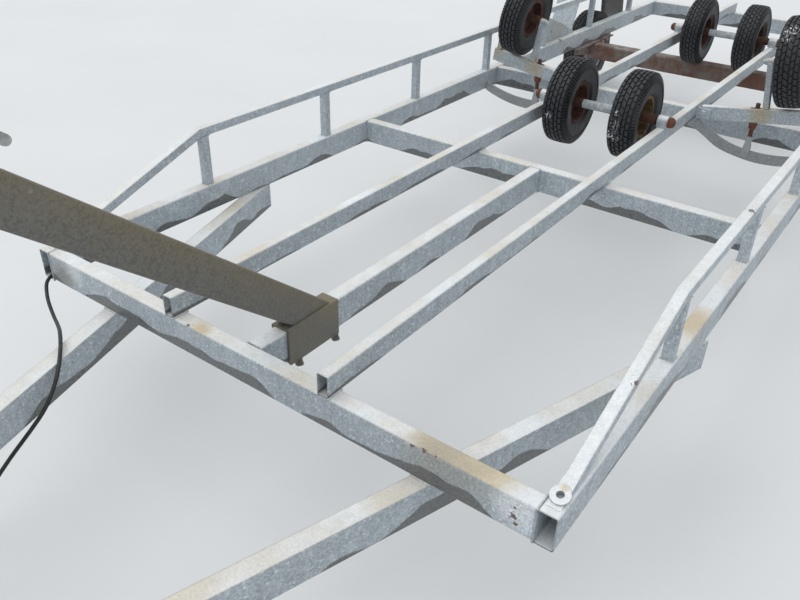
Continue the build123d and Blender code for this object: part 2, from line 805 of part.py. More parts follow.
# Side support wheels between the uprights
support_hub_half = (upright_gap - upright_thick) / 2 - 1.0
support_rim_part = wheel_rim(
    support_axle_radius + bearing_clearance,
    small_hub_radius,
    -support_hub_half,
    support_hub_half,
    small_rim_radius,
    small_flange_radius,
    small_rim_width / 2 + small_disc,
    small_disc,
    0.0,
)
wheel_centre = on_arm(upright_inner + upright_gap / 2, wheel_up)
wheel_tilt = Location(Plane(origin=wheel_centre, x_dir=(1, 0, 0), z_dir=across))
save("support_left_tyre", wheel_tilt * small_tyre_part)
save("support_left_rim", wheel_tilt * support_rim_part)
save("support_right_tyre", mirrored(wheel_tilt * small_tyre_part))
save("support_right_rim", mirrored(wheel_tilt * support_rim_part))

# Hinge brackets: a U round the arm's inner end, on the keel rail's outer side, with its bolt
keel_face_y = keel_y + keel_width / 2
bracket_low = up(seat_gap)
cheek_x = support_width / 2 + bracket_gap
with BuildPart() as bracket:
    for near_x in (cheek_x, -cheek_x - bracket_thick):
        with BuildSketch(Plane.XY.offset(bracket_low)):
            with Locations((support_x + near_x + bracket_thick / 2, keel_face_y + bracket_reach / 2)):
                Rectangle(bracket_thick, bracket_reach)
        extrude(amount=bracket_height)
    with BuildSketch(Plane.XY.offset(bracket_low)):
        with Locations((support_x, keel_face_y + bracket_thick / 2)):
            Rectangle(2 * cheek_x, bracket_thick)
    extrude(amount=bracket_height)
    with BuildSketch(Plane.YZ.offset(support_x - cheek_x - bracket_thick - pivot_head_thick)):
        with Locations((support_pivot_y, up(support_pivot_z))):
            Circle(pivot_bolt_radius)
    extrude(amount=2 * (cheek_x + bracket_thick + pivot_head_thick))
    for head_x in (cheek_x + bracket_thick, -cheek_x - bracket_thick - pivot_head_thick):
        with BuildSketch(Plane.YZ.offset(support_x + head_x)):
            with Locations((support_pivot_y, up(support_pivot_z))):
                RegularPolygon(pivot_head_size / 2, 6, major_radius=False)
        extrude(amount=pivot_head_thick)
save("support_brackets", bracket.part, mirrored(bracket.part))

# Curved plates from under the keel rail to the side rail, which carry the screws' lower ends
plate_x = support_x - plate_thick / 2
plate_line = ((keel_face_y, 0), (463, -61), (560, -103), (700, -127), (850, -121), (inner_y, -66))
low_line = ((322, -62), (406, -90), (500, -145), (600, -173), (728, -188), (850, -180), (inner_y, -124))
with BuildPart() as curved_plate:
    with BuildSketch(Plane.YZ.offset(plate_x)):
        with BuildLine():
            Spline(*[(y, up(z)) for y, z in plate_line])
            Line((inner_y, up(plate_line[-1][1])), (inner_y, up(low_line[-1][1])))
            Spline(*[(y, up(z)) for y, z in low_line])
            Polyline((low_line[0][0], up(low_line[0][1])), (low_line[0][0], up(0)), (keel_face_y, up(0)))
        make_face()
        with Locations((screw_y, up(screw_pin_z))):
            Circle(screw_pin_radius + seat_gap, mode=Mode.SUBTRACT)
    extrude(amount=plate_thick)
save("support_plates", curved_plate.part, mirrored(curved_plate.part))

# Adjusting screws: a fork pinned on the curved plate and a threaded rod up through the arm
ear_inner = plate_thick / 2 + seat_gap
with BuildPart() as screw:
    with BuildSketch(Plane.XY.offset(up(fork_bridge))):
        with Locations((support_x, screw_y)):
            Circle(screw_radius)
    extrude(amount=screw_top - fork_bridge)
    chamfer(screw.faces().sort_by(Axis.Z)[-1].edges(), 2.0)
    with BuildSketch(Plane.YZ.offset(support_x - ear_inner - fork_ear)):
        with BuildLine():
            Polyline(
                (screw_y - fork_width / 2, up(screw_pin_z)),
                (screw_y - fork_width / 2, up(fork_bridge - fork_shoulder)),
                (screw_y - neck_width / 2, up(fork_bridge + neck_taper)),
                (screw_y - neck_width / 2, up(neck_top)),
                (screw_y + neck_width / 2, up(neck_top)),
                (screw_y + neck_width / 2, up(fork_bridge + neck_taper)),
                (screw_y + fork_width / 2, up(fork_bridge - fork_shoulder)),
                (screw_y + fork_width / 2, up(screw_pin_z)),
                close=True,
            )
        make_face()
        with Locations((screw_y, up(screw_pin_z))):
            Circle(fork_width / 2)
    extrude(amount=2 * (ear_inner + fork_ear))
    with BuildSketch(Plane.YZ.offset(support_x - ear_inner)):
        with Locations((screw_y, up(screw_pin_z - fork_width / 2))):
            Rectangle(2 * fork_width, 2 * (fork_bridge - screw_pin_z) + fork_width)
    extrude(amount=2 * ear_inner, mode=Mode.SUBTRACT)
    with BuildSketch(Plane.YZ.offset(support_x - ear_inner - fork_ear - screw_pin_end)):
        with Locations((screw_y, up(screw_pin_z))):
            Circle(screw_pin_radius)
    extrude(amount=2 * (ear_inner + fork_ear + screw_pin_end))
    for head_x in (ear_inner + fork_ear, -ear_inner - fork_ear - screw_pin_head_thick):
        with BuildSketch(Plane.YZ.offset(support_x + head_x)):
            with Locations((screw_y, up(screw_pin_z))):
                RegularPolygon(screw_pin_head / 2, 6, major_radius=False)
        extrude(amount=screw_pin_head_thick)
save("support_screws", screw.part, mirrored(screw.part))

# Nut under each arm: a domed flange that rests on the sides of the arm's slot, over a hexagon.
# The dome's centre keeps its distance from the arm's underside as the arm tilts.
dome_reach = math.sqrt(dome_radius**2 - slot_radius**2) + nut_gap
nut_drop = (support_height / 2 + dome_reach) / math.cos(slope)
dome_z = up(support_pivot_z) + (screw_y - support_pivot_y) * math.tan(slope) - nut_drop
nut_bore = screw_radius + thread_gap


def dome_height(radius):
    """Height of the nut's dome above its centre at a distance from the screw's axis."""
    return dome_z + math.sqrt(dome_radius**2 - radius**2)


with BuildPart() as nut:
    with BuildSketch(Plane(origin=(support_x, screw_y, 0), x_dir=(0, 1, 0), z_dir=(1, 0, 0))):
        with BuildLine():
            Polyline(
                (nut_bore, dome_height(nut_bore)),
                (nut_bore, dome_z + dome_edge_height),
                (dome_edge_radius, dome_z + dome_edge_height),
                (dome_edge_radius, dome_height(dome_edge_radius)),
            )
            mid_radius = (dome_edge_radius + nut_bore) / 2
            ThreePointArc(
                (dome_edge_radius, dome_height(dome_edge_radius)),
                (mid_radius, dome_height(mid_radius)),
                (nut_bore, dome_height(nut_bore)),
            )
        make_face()
    revolve(axis=Axis((support_x, screw_y, 0), (0, 0, 1)))
    with BuildSketch(Plane.XY.offset(dome_z + dome_edge_height)):
        with Locations((support_x, screw_y)):
            RegularPolygon(nut_size / 2, 6, major_radius=False)
            Circle(nut_bore, mode=Mode.SUBTRACT)
    extrude(amount=-nut_height)
save("support_nut_left", nut.part)
save("support_nut_right", mirrored(nut.part))

# Main axle tube across under the rails
axle_centre_z = up(-beam_height - axle_tube_drop - axle_tube_size / 2)
axle_half = side_y - axle_tube_inset
axle_plane = Plane(origin=(back(axle_tube_at), -axle_half, axle_centre_z), x_dir=(1, 0, 0), z_dir=(0, 1, 0))
save("axle_tube", tube(axle_plane, axle_tube_size, axle_tube_size, axle_tube_wall, 2 * axle_half, 3.0))

# Axle mounts: a flat plate between the axle tube and the side rail, and a side plate that deepens to the tube
mount_front_at = axle_mount_profile[0][0]
mount_rear_at = axle_mount_profile[1][0]
mount_low = up(-beam_height - axle_tube_drop)
with BuildPart() as mount:
    with BuildSketch(Plane.XY.offset(up(-beam_height))):
        with Locations((back((mount_front_at + mount_rear_at) / 2), side_y - axle_tube_inset / 2)):
            Rectangle(mount_rear_at - mount_front_at, axle_mount_width)
    extrude(amount=-axle_tube_drop)
    with BuildSketch(Plane.XZ.offset(-inner_y)):
        with BuildLine():
            Polyline(*[(back(distance), mount_low + height) for distance, height in axle_mount_profile], close=True)
        make_face()
    extrude(amount=axle_mount_thick)
save("axle_mounts", mount.part, mirrored(mount.part))

# Trailing arms with stub axles
arm_y = axle_half + seat_gap
with BuildPart() as trailing:
    with BuildSketch(Plane.XZ.offset(-arm_y)):
        with BuildLine():
            reach = (back(axle_tube_at) - back(road_axle_at), axle_centre_z - hub_z)
            length = math.hypot(*reach)
            tangent = (reach[1] / length, -reach[0] / length)
            big = (trailing_big_end * tangent[0], trailing_big_end * tangent[1])
            small = (trailing_small_end * tangent[0], trailing_small_end * tangent[1])
            Polyline(
                (back(axle_tube_at) - big[0], axle_centre_z - big[1]),
                (back(road_axle_at) - small[0], hub_z - small[1]),
                (back(road_axle_at) + small[0], hub_z + small[1]),
                (back(axle_tube_at) + big[0], axle_centre_z + big[1]),
                close=True,
            )
        make_face()
        with Locations((back(axle_tube_at), axle_centre_z)):
            Circle(trailing_big_end)
        with Locations((back(road_axle_at), hub_z)):
            Circle(trailing_small_end)
    extrude(amount=-trailing_thick)
    with BuildSketch(Plane.XZ.offset(-arm_y)):
        with Locations((back(road_axle_at), hub_z)):
            Circle(stub_radius)
    extrude(amount=-(road_wheel_y + road_tyre_width / 2 - stub_end_gap - arm_y))
save("trailing_arms", trailing.part, mirrored(trailing.part))

# Road wheels
road_low = arm_y + trailing_thick + moving_gap - road_wheel_y
road_rim_part = wheel_rim(
    stub_radius + bearing_clearance,
    road_hub_radius,
    road_low,
    road_hub_out,
    road_rim_radius,
    road_flange_radius,
    road_rim_width / 2,
    road_sheet,
    road_disc_at,
)
road_bead = road_rim_width / 2 - road_sheet - seat_gap
road_tyre_part = tyre(road_tyre_radius, road_tyre_width, road_rim_radius, road_flange_radius, road_bead)
at_road = Pos(back(road_axle_at), road_wheel_y, hub_z)
save("road_left_tyre", at_road * road_tyre_part)
save("road_left_rim", at_road * road_rim_part)
save("road_right_tyre", mirrored(at_road * road_tyre_part))
save("road_right_rim", mirrored(at_road * road_rim_part))

# Mudguards: a folded strip of sheet over each road wheel, with a lip along its outer edge
mud_outline = [(back(distance), up(height)) for distance, height in mud_profile]
lip_outline = (
    (mud_outline[0][0] - mud_lip, mud_outline[0][1] - mud_lip),
    (mud_outline[1][0] - mud_lip, mud_outline[1][1] - mud_lip),
    (mud_outline[2][0] + mud_lip, mud_outline[2][1] - mud_lip),
    (mud_outline[3][0] + mud_lip, mud_outline[3][1] - mud_lip),
)
with BuildPart() as mudguard:
    with BuildSketch(Plane.XZ.offset(-frame_width / 2)):
        with BuildLine():
            Polyline(*mud_outline, close=True)
        make_face()
    extrude(amount=-mud_width)
    inner_side = mudguard.faces().filter_by(Axis.Y).sort_by(Axis.Y)[0]
    bottom = mudguard.faces().filter_by(Axis.Z).sort_by(Axis.Z)[0]
    offset(amount=-mud_sheet, openings=[bottom, inner_side])
    with BuildSketch(Plane.XZ.offset(-(frame_width / 2 + mud_width / 2))):
        with BuildLine():
            Polyline(*lip_outline, close=True)
        make_face()
    extrude(amount=-mud_width, mode=Mode.SUBTRACT)
save("mudguards", mudguard.part, mirrored(mudguard.part))

# Stay plates that stand on the side rails in front of the mudguards, each with a round hole
with BuildPart() as stay:
    with BuildSketch(Plane.XZ.offset(-(side_y + guard_size / 2 - stay_thick))):
        with BuildLine():
            Polyline(*[(back(distance), up(height)) for distance, height in stay_profile], close=True)
        make_face()
        with Locations((back(stay_hole_at), up(stay_hole_high))):
            Circle(stay_hole_radius, mode=Mode.SUBTRACT)
    extrude(amount=-stay_thick)
save("stay_plates", stay.part, mirrored(stay.part))

# Rear lamps on the rear crossbeam
with BuildPart() as lamp:
    with BuildSketch(Plane.YZ.offset(back(frame_length))):
        with Locations((inner_y - lamp_inset, up(-beam_height / 2))):
            RectangleRounded(lamp_width, lamp_height, lamp_height / 8)
    extrude(amount=-lamp_depth)
save("rear_lamps", lamp.part, mirrored(lamp.part))

# Jockey wheel jack on the left drawbar arm
jack_x = back(jack_setback - nose_length)
jack_y = arm_side(jack_x) + jack_out
jack_top = up(jack_above)
with BuildPart() as jack_outer:
    with BuildSketch(Plane.XY.offset(jack_low)):
        with Locations((jack_x, jack_y)):
            Circle(jack_outer_radius)
            Circle(jack_inner_radius + bearing_clearance, mode=Mode.SUBTRACT)
    extrude(amount=jack_top - jack_low)
    with BuildSketch(Plane.XY.offset(jack_top)):
        with Locations((jack_x, jack_y)):
            Circle(jack_outer_radius)
    extrude(amount=jack_cap)
crank_z = jack_top + jack_crank_above
with BuildPart() as crank:
    with BuildSketch(Plane.XY.offset(jack_top + jack_cap)):
        with Locations((jack_x, jack_y)):
            Circle(jack_axle_radius)
    extrude(amount=jack_crank_above - jack_cap)
    with BuildSketch(Plane.XY.offset(crank_z)):
        with Locations((jack_x - jack_crank / 2, jack_y)):
            SlotCenterToCenter(jack_crank, crank_width)
    extrude(amount=crank_thick)
    with BuildSketch(Plane.XY.offset(crank_z + crank_thick)):
        with Locations((jack_x - jack_crank, jack_y)):
            Circle(grip_radius)
    extrude(amount=grip_length)
save("jack_tube", jack_outer.part, crank.part)

with BuildPart() as jack_clamp:
    with BuildSketch(Plane.XY.offset(up(-clamp_drop))):
        with BuildLine():
            Polyline(
                (jack_x - clamp_half, arm_side(jack_x - clamp_half) + arm_half),
                (jack_x + clamp_half, arm_side(jack_x + clamp_half) + arm_half),
                (jack_x + clamp_half, jack_y + jack_outer_radius + clamp_lip),
                (jack_x - clamp_half, jack_y + jack_outer_radius + clamp_lip),
                close=True,
            )
        make_face()
        with Locations((jack_x, jack_y)):
            Circle(jack_outer_radius + seat_gap, mode=Mode.SUBTRACT)
    extrude(amount=clamp_height)
save("jack_clamp", jack_clamp.part)

with BuildPart() as jack_inner:
    with BuildSketch(Plane.XY.offset(fork_top)):
        with Locations((jack_x, jack_y)):
            Circle(jack_inner_radius)
            Circle(jack_inner_radius - jack_wall, mode=Mode.SUBTRACT)
    extrude(amount=jack_inner_length)
save("jack_inner_tube", jack_inner.part)

fork_half = jack_wheel_width / 2 + moving_gap + fork_sheet
fork_x = jack_x - jack_trail / 2
hub_x = jack_x - jack_trail
with BuildPart() as fork:
    with BuildSketch(Plane.XY.offset(fork_top - seat_gap)):
        with Locations((fork_x, jack_y)):
            Rectangle(fork_length, 2 * fork_half)
    extrude(amount=-fork_crown)
    for ear_low in (jack_y - fork_half, jack_y + fork_half - fork_sheet):
        with BuildSketch(Plane.XZ.offset(-ear_low)):
            with BuildLine():
                Polyline(
                    (fork_x - fork_length / 2, fork_top - seat_gap),
                    (fork_x + fork_length / 2, fork_top - seat_gap),
                    (hub_x + 2.5 * jack_axle_radius, jack_wheel_radius - 2.5 * jack_axle_radius),
                    (hub_x - 2.5 * jack_axle_radius, jack_wheel_radius - 2.5 * jack_axle_radius),
                    close=True,
                )
            make_face()
        extrude(amount=-fork_sheet)
    with BuildSketch(Plane.XZ.offset(fork_half - jack_y)):
        with Locations((hub_x, jack_wheel_radius)):
            Circle(jack_axle_radius)
    extrude(amount=-2 * fork_half)
save("jack_fork", fork.part)

with BuildPart() as jack_wheel:
    with BuildSketch(Plane.XZ.offset(jack_wheel_width / 2 - jack_y)):
        with Locations((hub_x, jack_wheel_radius)):
            Circle(jack_wheel_radius)
            Circle(jack_axle_radius + bearing_clearance, mode=Mode.SUBTRACT)
    extrude(amount=-jack_wheel_width)
save("jack_wheel", jack_wheel.part)

# Cable: out of the right side rail, over the right drawbar arm and down to the ground.
# Each point is the distance in front of the frame, Y and the height above the frame's top.
cable_points = (
    (-90, -1080, -104),
    (12, -1080, -101),
    (58, -1030, -158),
    (102, -925, -180),
    (154, -800, -150),
    (208, -690, -104),
    (270, -590, -96),
    (335, -525, -140),
    (405, -498, -205),
    (480, -500, -262),
    (560, -510, -325),
    (640, -520, -400),
    (715, -526, -480),
    (795, -522, -548),
    (885, -500, -573),
    (965, -470, -573),
)
route = [Vector(front_x + x, y, up(z)) for x, y, z in cable_points]
radii = []
for before, point, after in zip(route, route[1:], route[2:]):
    turn = math.radians((point - before).get_angle(after - point))
    shorter = min((point - before).length, (after - point).length)
    radii.append(0.45 * shorter / math.tan(turn / 2))
print("cable radii", [round(r) for r in radii])
with BuildPart() as cable:
    with BuildLine() as cable_line:
        FilletPolyline(*route, radius=radii)
    with BuildSketch(Plane(origin=route[0], z_dir=route[1] - route[0])):
        Circle(cable_radius)
    sweep(path=cable_line.wires()[0])
cable_length = cable_line.wires()[0].length
cable_share = cable.part.volume / (math.pi * cable_radius**2 * cable_length)
print("cable length", round(cable_length), "volume share", round(cable_share, 4))
save("cable", cable.part)

# The rest of the cable lies coiled, with its plug beside it
coil_x = route[-1].X - coil_behind
coil_y = route[-1].Y + coil_radius
with BuildPart() as coil:
    with BuildSketch(Plane.XZ):
        with Locations((coil_radius, coil_section / 2)):
            RectangleRounded(coil_section, coil_section, coil_section / 3)
    revolve(axis=Axis.Z)
save("cable_coil", Pos(coil_x, coil_y, 0) * coil.part)

plug_y = coil_y - coil_radius - plug_side
with BuildPart() as plug:
    with BuildSketch(Plane.YZ.offset(coil_x + plug_ahead)):
        with Locations((plug_y, plug_radius)):
            Circle(plug_radius)
    extrude(amount=plug_length)
    with BuildSketch(Plane.YZ.offset(coil_x)):
        with Locations((plug_y + cable_radius, plug_radius)):
            Circle(cable_radius)
    extrude(amount=plug_ahead + cable_radius)
save("plug", plug.part)
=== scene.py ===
"""Looks of a galvanised boat trailer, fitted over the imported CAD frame.

Metres. +X points forward to the coupling, +Y to the left side and +Z up, as in the CAD.
"""

import math

import bpy
from bpy.props import FloatProperty, FloatVectorProperty, IntProperty, PointerProperty
from mathutils import Matrix, Vector


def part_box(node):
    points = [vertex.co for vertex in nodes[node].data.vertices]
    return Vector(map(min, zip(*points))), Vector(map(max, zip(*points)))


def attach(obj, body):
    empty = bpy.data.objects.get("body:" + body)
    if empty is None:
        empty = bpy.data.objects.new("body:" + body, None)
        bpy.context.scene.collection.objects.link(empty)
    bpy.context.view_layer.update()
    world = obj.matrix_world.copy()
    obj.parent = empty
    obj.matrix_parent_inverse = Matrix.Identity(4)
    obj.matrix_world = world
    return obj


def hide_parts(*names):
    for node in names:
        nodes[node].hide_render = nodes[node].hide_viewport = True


bl_info = {
    "name": "Boat trailer looks",
    "version": (1, 0, 0),
    "blender": (4, 5, 0),
    "location": "View3D > Sidebar > Trailer",
    "description": "Finishes, tyres, welds, threads, cable and lamps of a boat trailer",
    "category": "Object",
}

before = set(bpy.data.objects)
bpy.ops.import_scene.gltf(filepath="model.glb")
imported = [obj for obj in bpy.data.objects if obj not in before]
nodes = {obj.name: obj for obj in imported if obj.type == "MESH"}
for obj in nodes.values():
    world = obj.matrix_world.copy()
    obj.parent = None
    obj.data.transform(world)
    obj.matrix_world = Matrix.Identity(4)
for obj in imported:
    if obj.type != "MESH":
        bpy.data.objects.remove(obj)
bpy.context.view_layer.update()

# Places that the CAD frame shares with this script, in metres
FRONT_X = 1.984
FRAME_TOP = 0.58
BEAM_HEIGHT = 0.12
BEAM_WIDTH = 0.06
FRAME_LOW = FRAME_TOP - BEAM_HEIGHT
SIDE_Y = 1.08
INNER_Y = 1.05
KEEL_SIDES = (0.322, 0.364)
SUPPORT_SLOPE = math.radians(8.7)
POST_ANGLE = math.radians(39.5)
POST_FOOT = (1.674, 0.0, 0.58)
POST_ALONG = Vector((math.cos(POST_ANGLE), 0.0, math.sin(POST_ANGLE)))
POST_OUT = Vector((-math.sin(POST_ANGLE), 0.0, math.cos(POST_ANGLE)))
SIDES = (("left", 1), ("right", -1))


def linear(code):
    """Linear colour with alpha from an sRGB hex value."""
    parts = [int(code[i : i + 2], 16) / 255 for i in (1, 3, 5)]
    return tuple(p / 12.92 if p <= 0.04045 else ((p + 0.055) / 1.055) ** 2.4 for p in parts) + (1.0,)


def shade(code, factor, lift=0.0):
    """A darker or paler linear colour from an sRGB hex value."""
    return tuple(min(1.0, part * factor + lift) for part in linear(code)[:3]) + (1.0,)


def colour_property(name, description, code):
    """A colour setting with its default from an sRGB hex value."""
    return FloatVectorProperty(
        name=name, description=description, default=linear(code), size=4, min=0.0, max=1.0, subtype="COLOR"
    )


def length_property(name, description, default):
    """A length setting in metres."""
    return FloatProperty(
        name=name, description=description, default=default, unit="LENGTH", subtype="DISTANCE"
    )


class TrailerColours(bpy.types.PropertyGroup):
    """Colours of the trailer's finishes."""

    zinc_side: colour_property("Zinc sides", "Upright faces of the galvanised tubes", "#b9c3ca")
    # Pale tops: partly zinc oxide, partly painted skylight, since the upper faces are drawn lighter than the
    # sides.
    zinc_top_and_skylight: colour_property("Zinc tops", "Upper faces of the galvanised tubes", "#f0f2f2")
    damp: colour_property("Damp", "Wet patches along the tubes' lower edges", "#5a5957")
    stain: colour_property("Stain", "Dried dirt on the tubes' tops", "#cbb996")
    rust: colour_property("Rust", "Bright rust on caps, nuts and bolts", "#7c4c34")
    dark_rust: colour_property("Dark rust", "Old rust on rims and axles", "#4a3128")
    coating: colour_property("Coating", "Winch post's old coating", "#595a59")
    rubber: colour_property("Rubber", "Tyres", "#15161a")
    floor: colour_property("Floor", "Plain floor and background", "#dcdedf")


class TrailerSizes(bpy.types.PropertyGroup):
    """Sizes of the pieces that this add-on models, and the strength of the light."""

    tread_depth: length_property("Tread depth", "Height of the tread blocks", 0.007)
    tread_ribs: IntProperty(
        name="Tread ribs", description="Shoulder ribs round a small tyre, a multiple of four",
        default=80, min=24, step=4,
    )
    bead_width: length_property("Weld width", "Width of a weld bead", 0.009)
    thread_pitch: length_property("Thread pitch", "Pitch of the adjusting screws", 0.003)
    sky: FloatProperty(name="Sky", description="Strength of the soft light all round", default=0.86, min=0.0)
    sun: FloatProperty(name="Sun", description="Strength of the wide lamp overhead", default=0.9, min=0.0)


def colours():
    """The colour settings."""
    return bpy.context.scene.trailer_colours


def sizes():
    """The size settings."""
    return bpy.context.scene.trailer_sizes


# Materials


def add_node(tree, kind, inputs=None, **settings):
    """Add one node. A socket given as an input is linked, text is an sRGB colour, the rest is set."""
    node = tree.nodes.new(kind)
    for name, value in settings.items():
        setattr(node, name, value)
    for name, value in (inputs or {}).items():
        if isinstance(value, bpy.types.NodeSocket):
            tree.links.new(value, node.inputs[name])
        else:
            node.inputs[name].default_value = linear(value) if isinstance(value, str) else value
    return node


def maths(tree, operation, first, second=0.0):
    """One sum on two values."""
    return add_node(tree, "ShaderNodeMath", {0: first, 1: second}, operation=operation).outputs[0]


class Finish:
    """A material while its nodes are added. Its place is the place on the piece, in metres."""

    def __init__(self, name, metallic=0.0, roughness=0.6):
        self.material = bpy.data.materials.new(name)
        self.material.use_nodes = True
        self.tree = self.material.node_tree
        self.tree.nodes.clear()
        self.shader = self.add("ShaderNodeBsdfPrincipled", {"Metallic": metallic, "Roughness": roughness})
        self.add("ShaderNodeOutputMaterial", {"Surface": self.shader.outputs["BSDF"]})
        self.place = self.add("ShaderNodeTexCoord").outputs["Object"]

    def add(self, kind, inputs=None, **settings):
        """Add one node to the material."""
        return add_node(self.tree, kind, inputs, **settings)

    def maths(self, operation, first, second=0.0):
        """One sum on two values."""
        return maths(self.tree, operation, first, second)

    def times(self, first, second):
        """Two values multiplied."""
        return self.maths("MULTIPLY", first, second)

    def ramp(self, value, low, high, to_low=0.0, to_high=1.0):
        """A value taken from one range to another and clamped."""
        inputs = {"Value": value, "From Min": low, "From Max": high, "To Min": to_low, "To Max": to_high}
        return self.add("ShaderNodeMapRange", inputs).outputs["Result"]

    def within(self, value, low, high):
        """A value from 0 to 1 taken to another range."""
        return self.ramp(value, 0.0, 1.0, low, high)

    def noise(self, per_metre, detail, roughness, place=None):
        """Noise with so many clouds to a metre."""
        inputs = {"Vector": place or self.place, "Scale": per_metre, "Detail": detail, "Roughness": roughness}
        return self.add("ShaderNodeTexNoise", inputs).outputs["Fac"]

    def cloud(self, per_metre, low=0.35, high=0.65, detail=4.0, roughness=0.55, place=None):
        """Noise between two thresholds, from 0 to 1."""
        return self.ramp(self.noise(per_metre, detail, roughness, place), low, high)

    def stretched(self, *scale):
        """The place scaled by its own amount along each axis."""
        return self.add("ShaderNodeMapping", {"Vector": self.place, "Scale": scale}).outputs["Vector"]

    def axis(self, name, vector=None):
        """One part of the place or of another vector."""
        return self.add("ShaderNodeSeparateXYZ", {"Vector": vector or self.place}).outputs[name]

    def compare(self, operation, first, second, output="Value"):
        """One sum on two vectors."""
        return self.add("ShaderNodeVectorMath", {0: first, 1: second}, operation=operation).outputs[output]

    def wave(self, scale, direction, distortion=0.0):
        """Even bands along an axis."""
        inputs = {"Vector": self.place, "Scale": scale, "Distortion": distortion}
        return self.add("ShaderNodeTexWave", inputs, bands_direction=direction).outputs["Fac"]

    def attribute(self, name):
        """A value that the mesh carries."""
        return self.add("ShaderNodeAttribute", attribute_name=name).outputs["Fac"]

    def rounded(self, radius):
        """The surface's direction with its edges rounded off, as on rolled tube."""
        return self.add("ShaderNodeBevel", {"Radius": radius}, samples=4).outputs["Normal"]

    def facing_up(self, normal=None):
        """1 on a level upper face, 0 on an upright one."""
        normal = normal or self.add("ShaderNodeNewGeometry").outputs["Normal"]
        return self.ramp(self.axis("Z", normal), 0.35, 0.8)

    def spots(self, centres, ragged=False):
        """1 inside any of the spots, each a place and a radius: ragged at the edge or fading out unevenly."""
        if ragged:
            wobble, solid = self.ramp(self.noise(130.0, 3.0, 0.5), 0.35, 0.65, 0.45, 1.9), 0.6
        else:
            wobble, solid = self.within(self.cloud(14.0, 0.3, 0.7, detail=3.0), 0.8, 1.25), 0.35
        total = 0.0
        for centre, radius in centres:
            gap = self.times(self.compare("DISTANCE", self.place, centre), wobble)
            total = self.maths("MAXIMUM", total, self.ramp(gap, radius, radius * solid))
        return total

    def blend(self, amount, first, second, most=None, how="MIX"):
        """Two colours mixed by an amount, which may be taken down to the most of the second one."""
        if most is not None:
            amount = self.within(amount, 0.0, most)
        inputs = {0: amount, 6: first, 7: second}
        return self.add("ShaderNodeMix", inputs, data_type="RGBA", blend_type=how).outputs[2]

    def layers(self, body, *layers):
        """Colours laid over a body in turn, each as its amount, colour and the most of it."""
        for amount, colour, most in layers:
            body = self.blend(amount, body, colour, most)
        return body

    def done(self, colour, height=None, distance=0.0, strength=0.5, rough=None, edges=None):
        """Link the colour, the roughness and a bump whose full step is a distance in metres."""
        links = {"Base Color": colour, "Roughness": rough}
        if height:
            bump = {"Height": height, "Distance": distance, "Strength": strength}
            if edges:
                bump["Normal"] = edges
            links["Normal"] = self.add("ShaderNodeBump", bump).outputs["Normal"]
        for name, socket in links.items():
            if socket:
                self.tree.links.new(socket, self.shader.inputs[name])
        return self.material


def hot_dip_zinc(
    name, low_edge=None, wet=0.0, dirt=0.5, rust=(), stains=(), black=(), smear=0.22, tints=(),
    edge_radius=0.008,
):
    """Hot-dip galvanised tube, weathered: dull, speckled blue-grey sides and pale tops, partly oxide and
    partly painted skylight.

    The grain is 5 mm, coarser than real spangle so that it shows. Rain leaves dark damp patches along
    the lower edges of the sides, and dirt dries beige on the tops. A tint is a soft patch of another
    colour: its place, radius, sRGB colour and strength.
    """
    mat = Finish(name, metallic=0.1, roughness=0.55)
    look = colours()
    broad = mat.cloud(2.6, 0.3, 0.7, detail=3.0)
    mottle = mat.cloud(28.0, 0.3, 0.7)
    grain = mat.cloud(120.0, 0.3, 0.7, roughness=0.75)
    flecks = mat.cloud(75.0, 0.58, 0.68, detail=3.0)
    streak = mat.cloud(1.0, 0.45, 0.75, place=mat.stretched(60.0, 60.0, 6.0))
    flat = mat.stretched(1.0, 1.0, 0.0)
    patch = mat.cloud(3.4, 0.38, 0.66, detail=2.0, place=flat)
    edges = mat.rounded(edge_radius)
    # Upper faces and the rounded top edges take the pale top colour: partly oxide, partly painted skylight,
    # with a painted highlight along the edges.
    up = mat.facing_up(edges)
    side = mat.layers(look.zinc_side, (mottle, "#8f999f", 0.6), (broad, "#979fa3", 0.6))
    side = mat.layers(side, (streak, "#dde3e6", 0.2), (flecks, "#dde2e5", 0.6))
    top = mat.layers(look.zinc_top_and_skylight, (mottle, "#d3d8db", 0.5), (broad, "#d3dade", 0.4))
    top = mat.blend(mat.times(patch, dirt * 0.8), top, look.stain)
    if stains:
        patches = mat.spots(stains)
        top = mat.blend(mat.times(patches, 0.8), top, look.stain)
        side = mat.blend(mat.times(patches, smear), side, "#a89a7c")
    body = mat.blend(up, side, top)
    for centre, radius, code, strength in tints:
        body = mat.blend(mat.times(mat.spots(((centre, radius),)), strength), body, code)
    rough = mat.within(mottle, 0.46, 0.64)
    if low_edge is not None:
        wave = mat.cloud(2.9, 0.42, 0.6, detail=1.0, roughness=0.4, place=flat)
        ripple = mat.cloud(9.0, 0.25, 0.75, detail=1.0, place=flat)
        edge = mat.times(wave, mat.within(ripple, wet * 0.75, wet * 1.15))
        above = mat.maths("SUBTRACT", mat.axis("Z"), low_edge)
        damp = mat.ramp(mat.maths("SUBTRACT", above, edge), 0.002, -0.0025)
        damp = mat.times(damp, mat.maths("SUBTRACT", 1.0, up))
        body = mat.blend(mat.times(damp, 0.88), body, mat.blend(mottle, look.damp, "#6d6e6d", 0.5))
        rough = mat.maths("SUBTRACT", rough, mat.times(damp, 0.22))
    tone = mat.within(grain, 0.56, 1.34)
    speck = mat.add("ShaderNodeCombineColor", {key: tone for key in ("Red", "Green", "Blue")})
    body = mat.blend(mat.within(up, 0.9, 0.3), body, speck.outputs["Color"], how="MULTIPLY")
    for centres, strength, code in ((rust, 0.9, "#5f3d2a"), (black, 0.85, "#3a3d40")):
        if centres:
            body = mat.blend(mat.times(mat.spots(centres, ragged=True), strength), body, code)
    return mat.done(body, mat.maths("ADD", mottle, grain), 0.0008, 0.45, rough, edges)


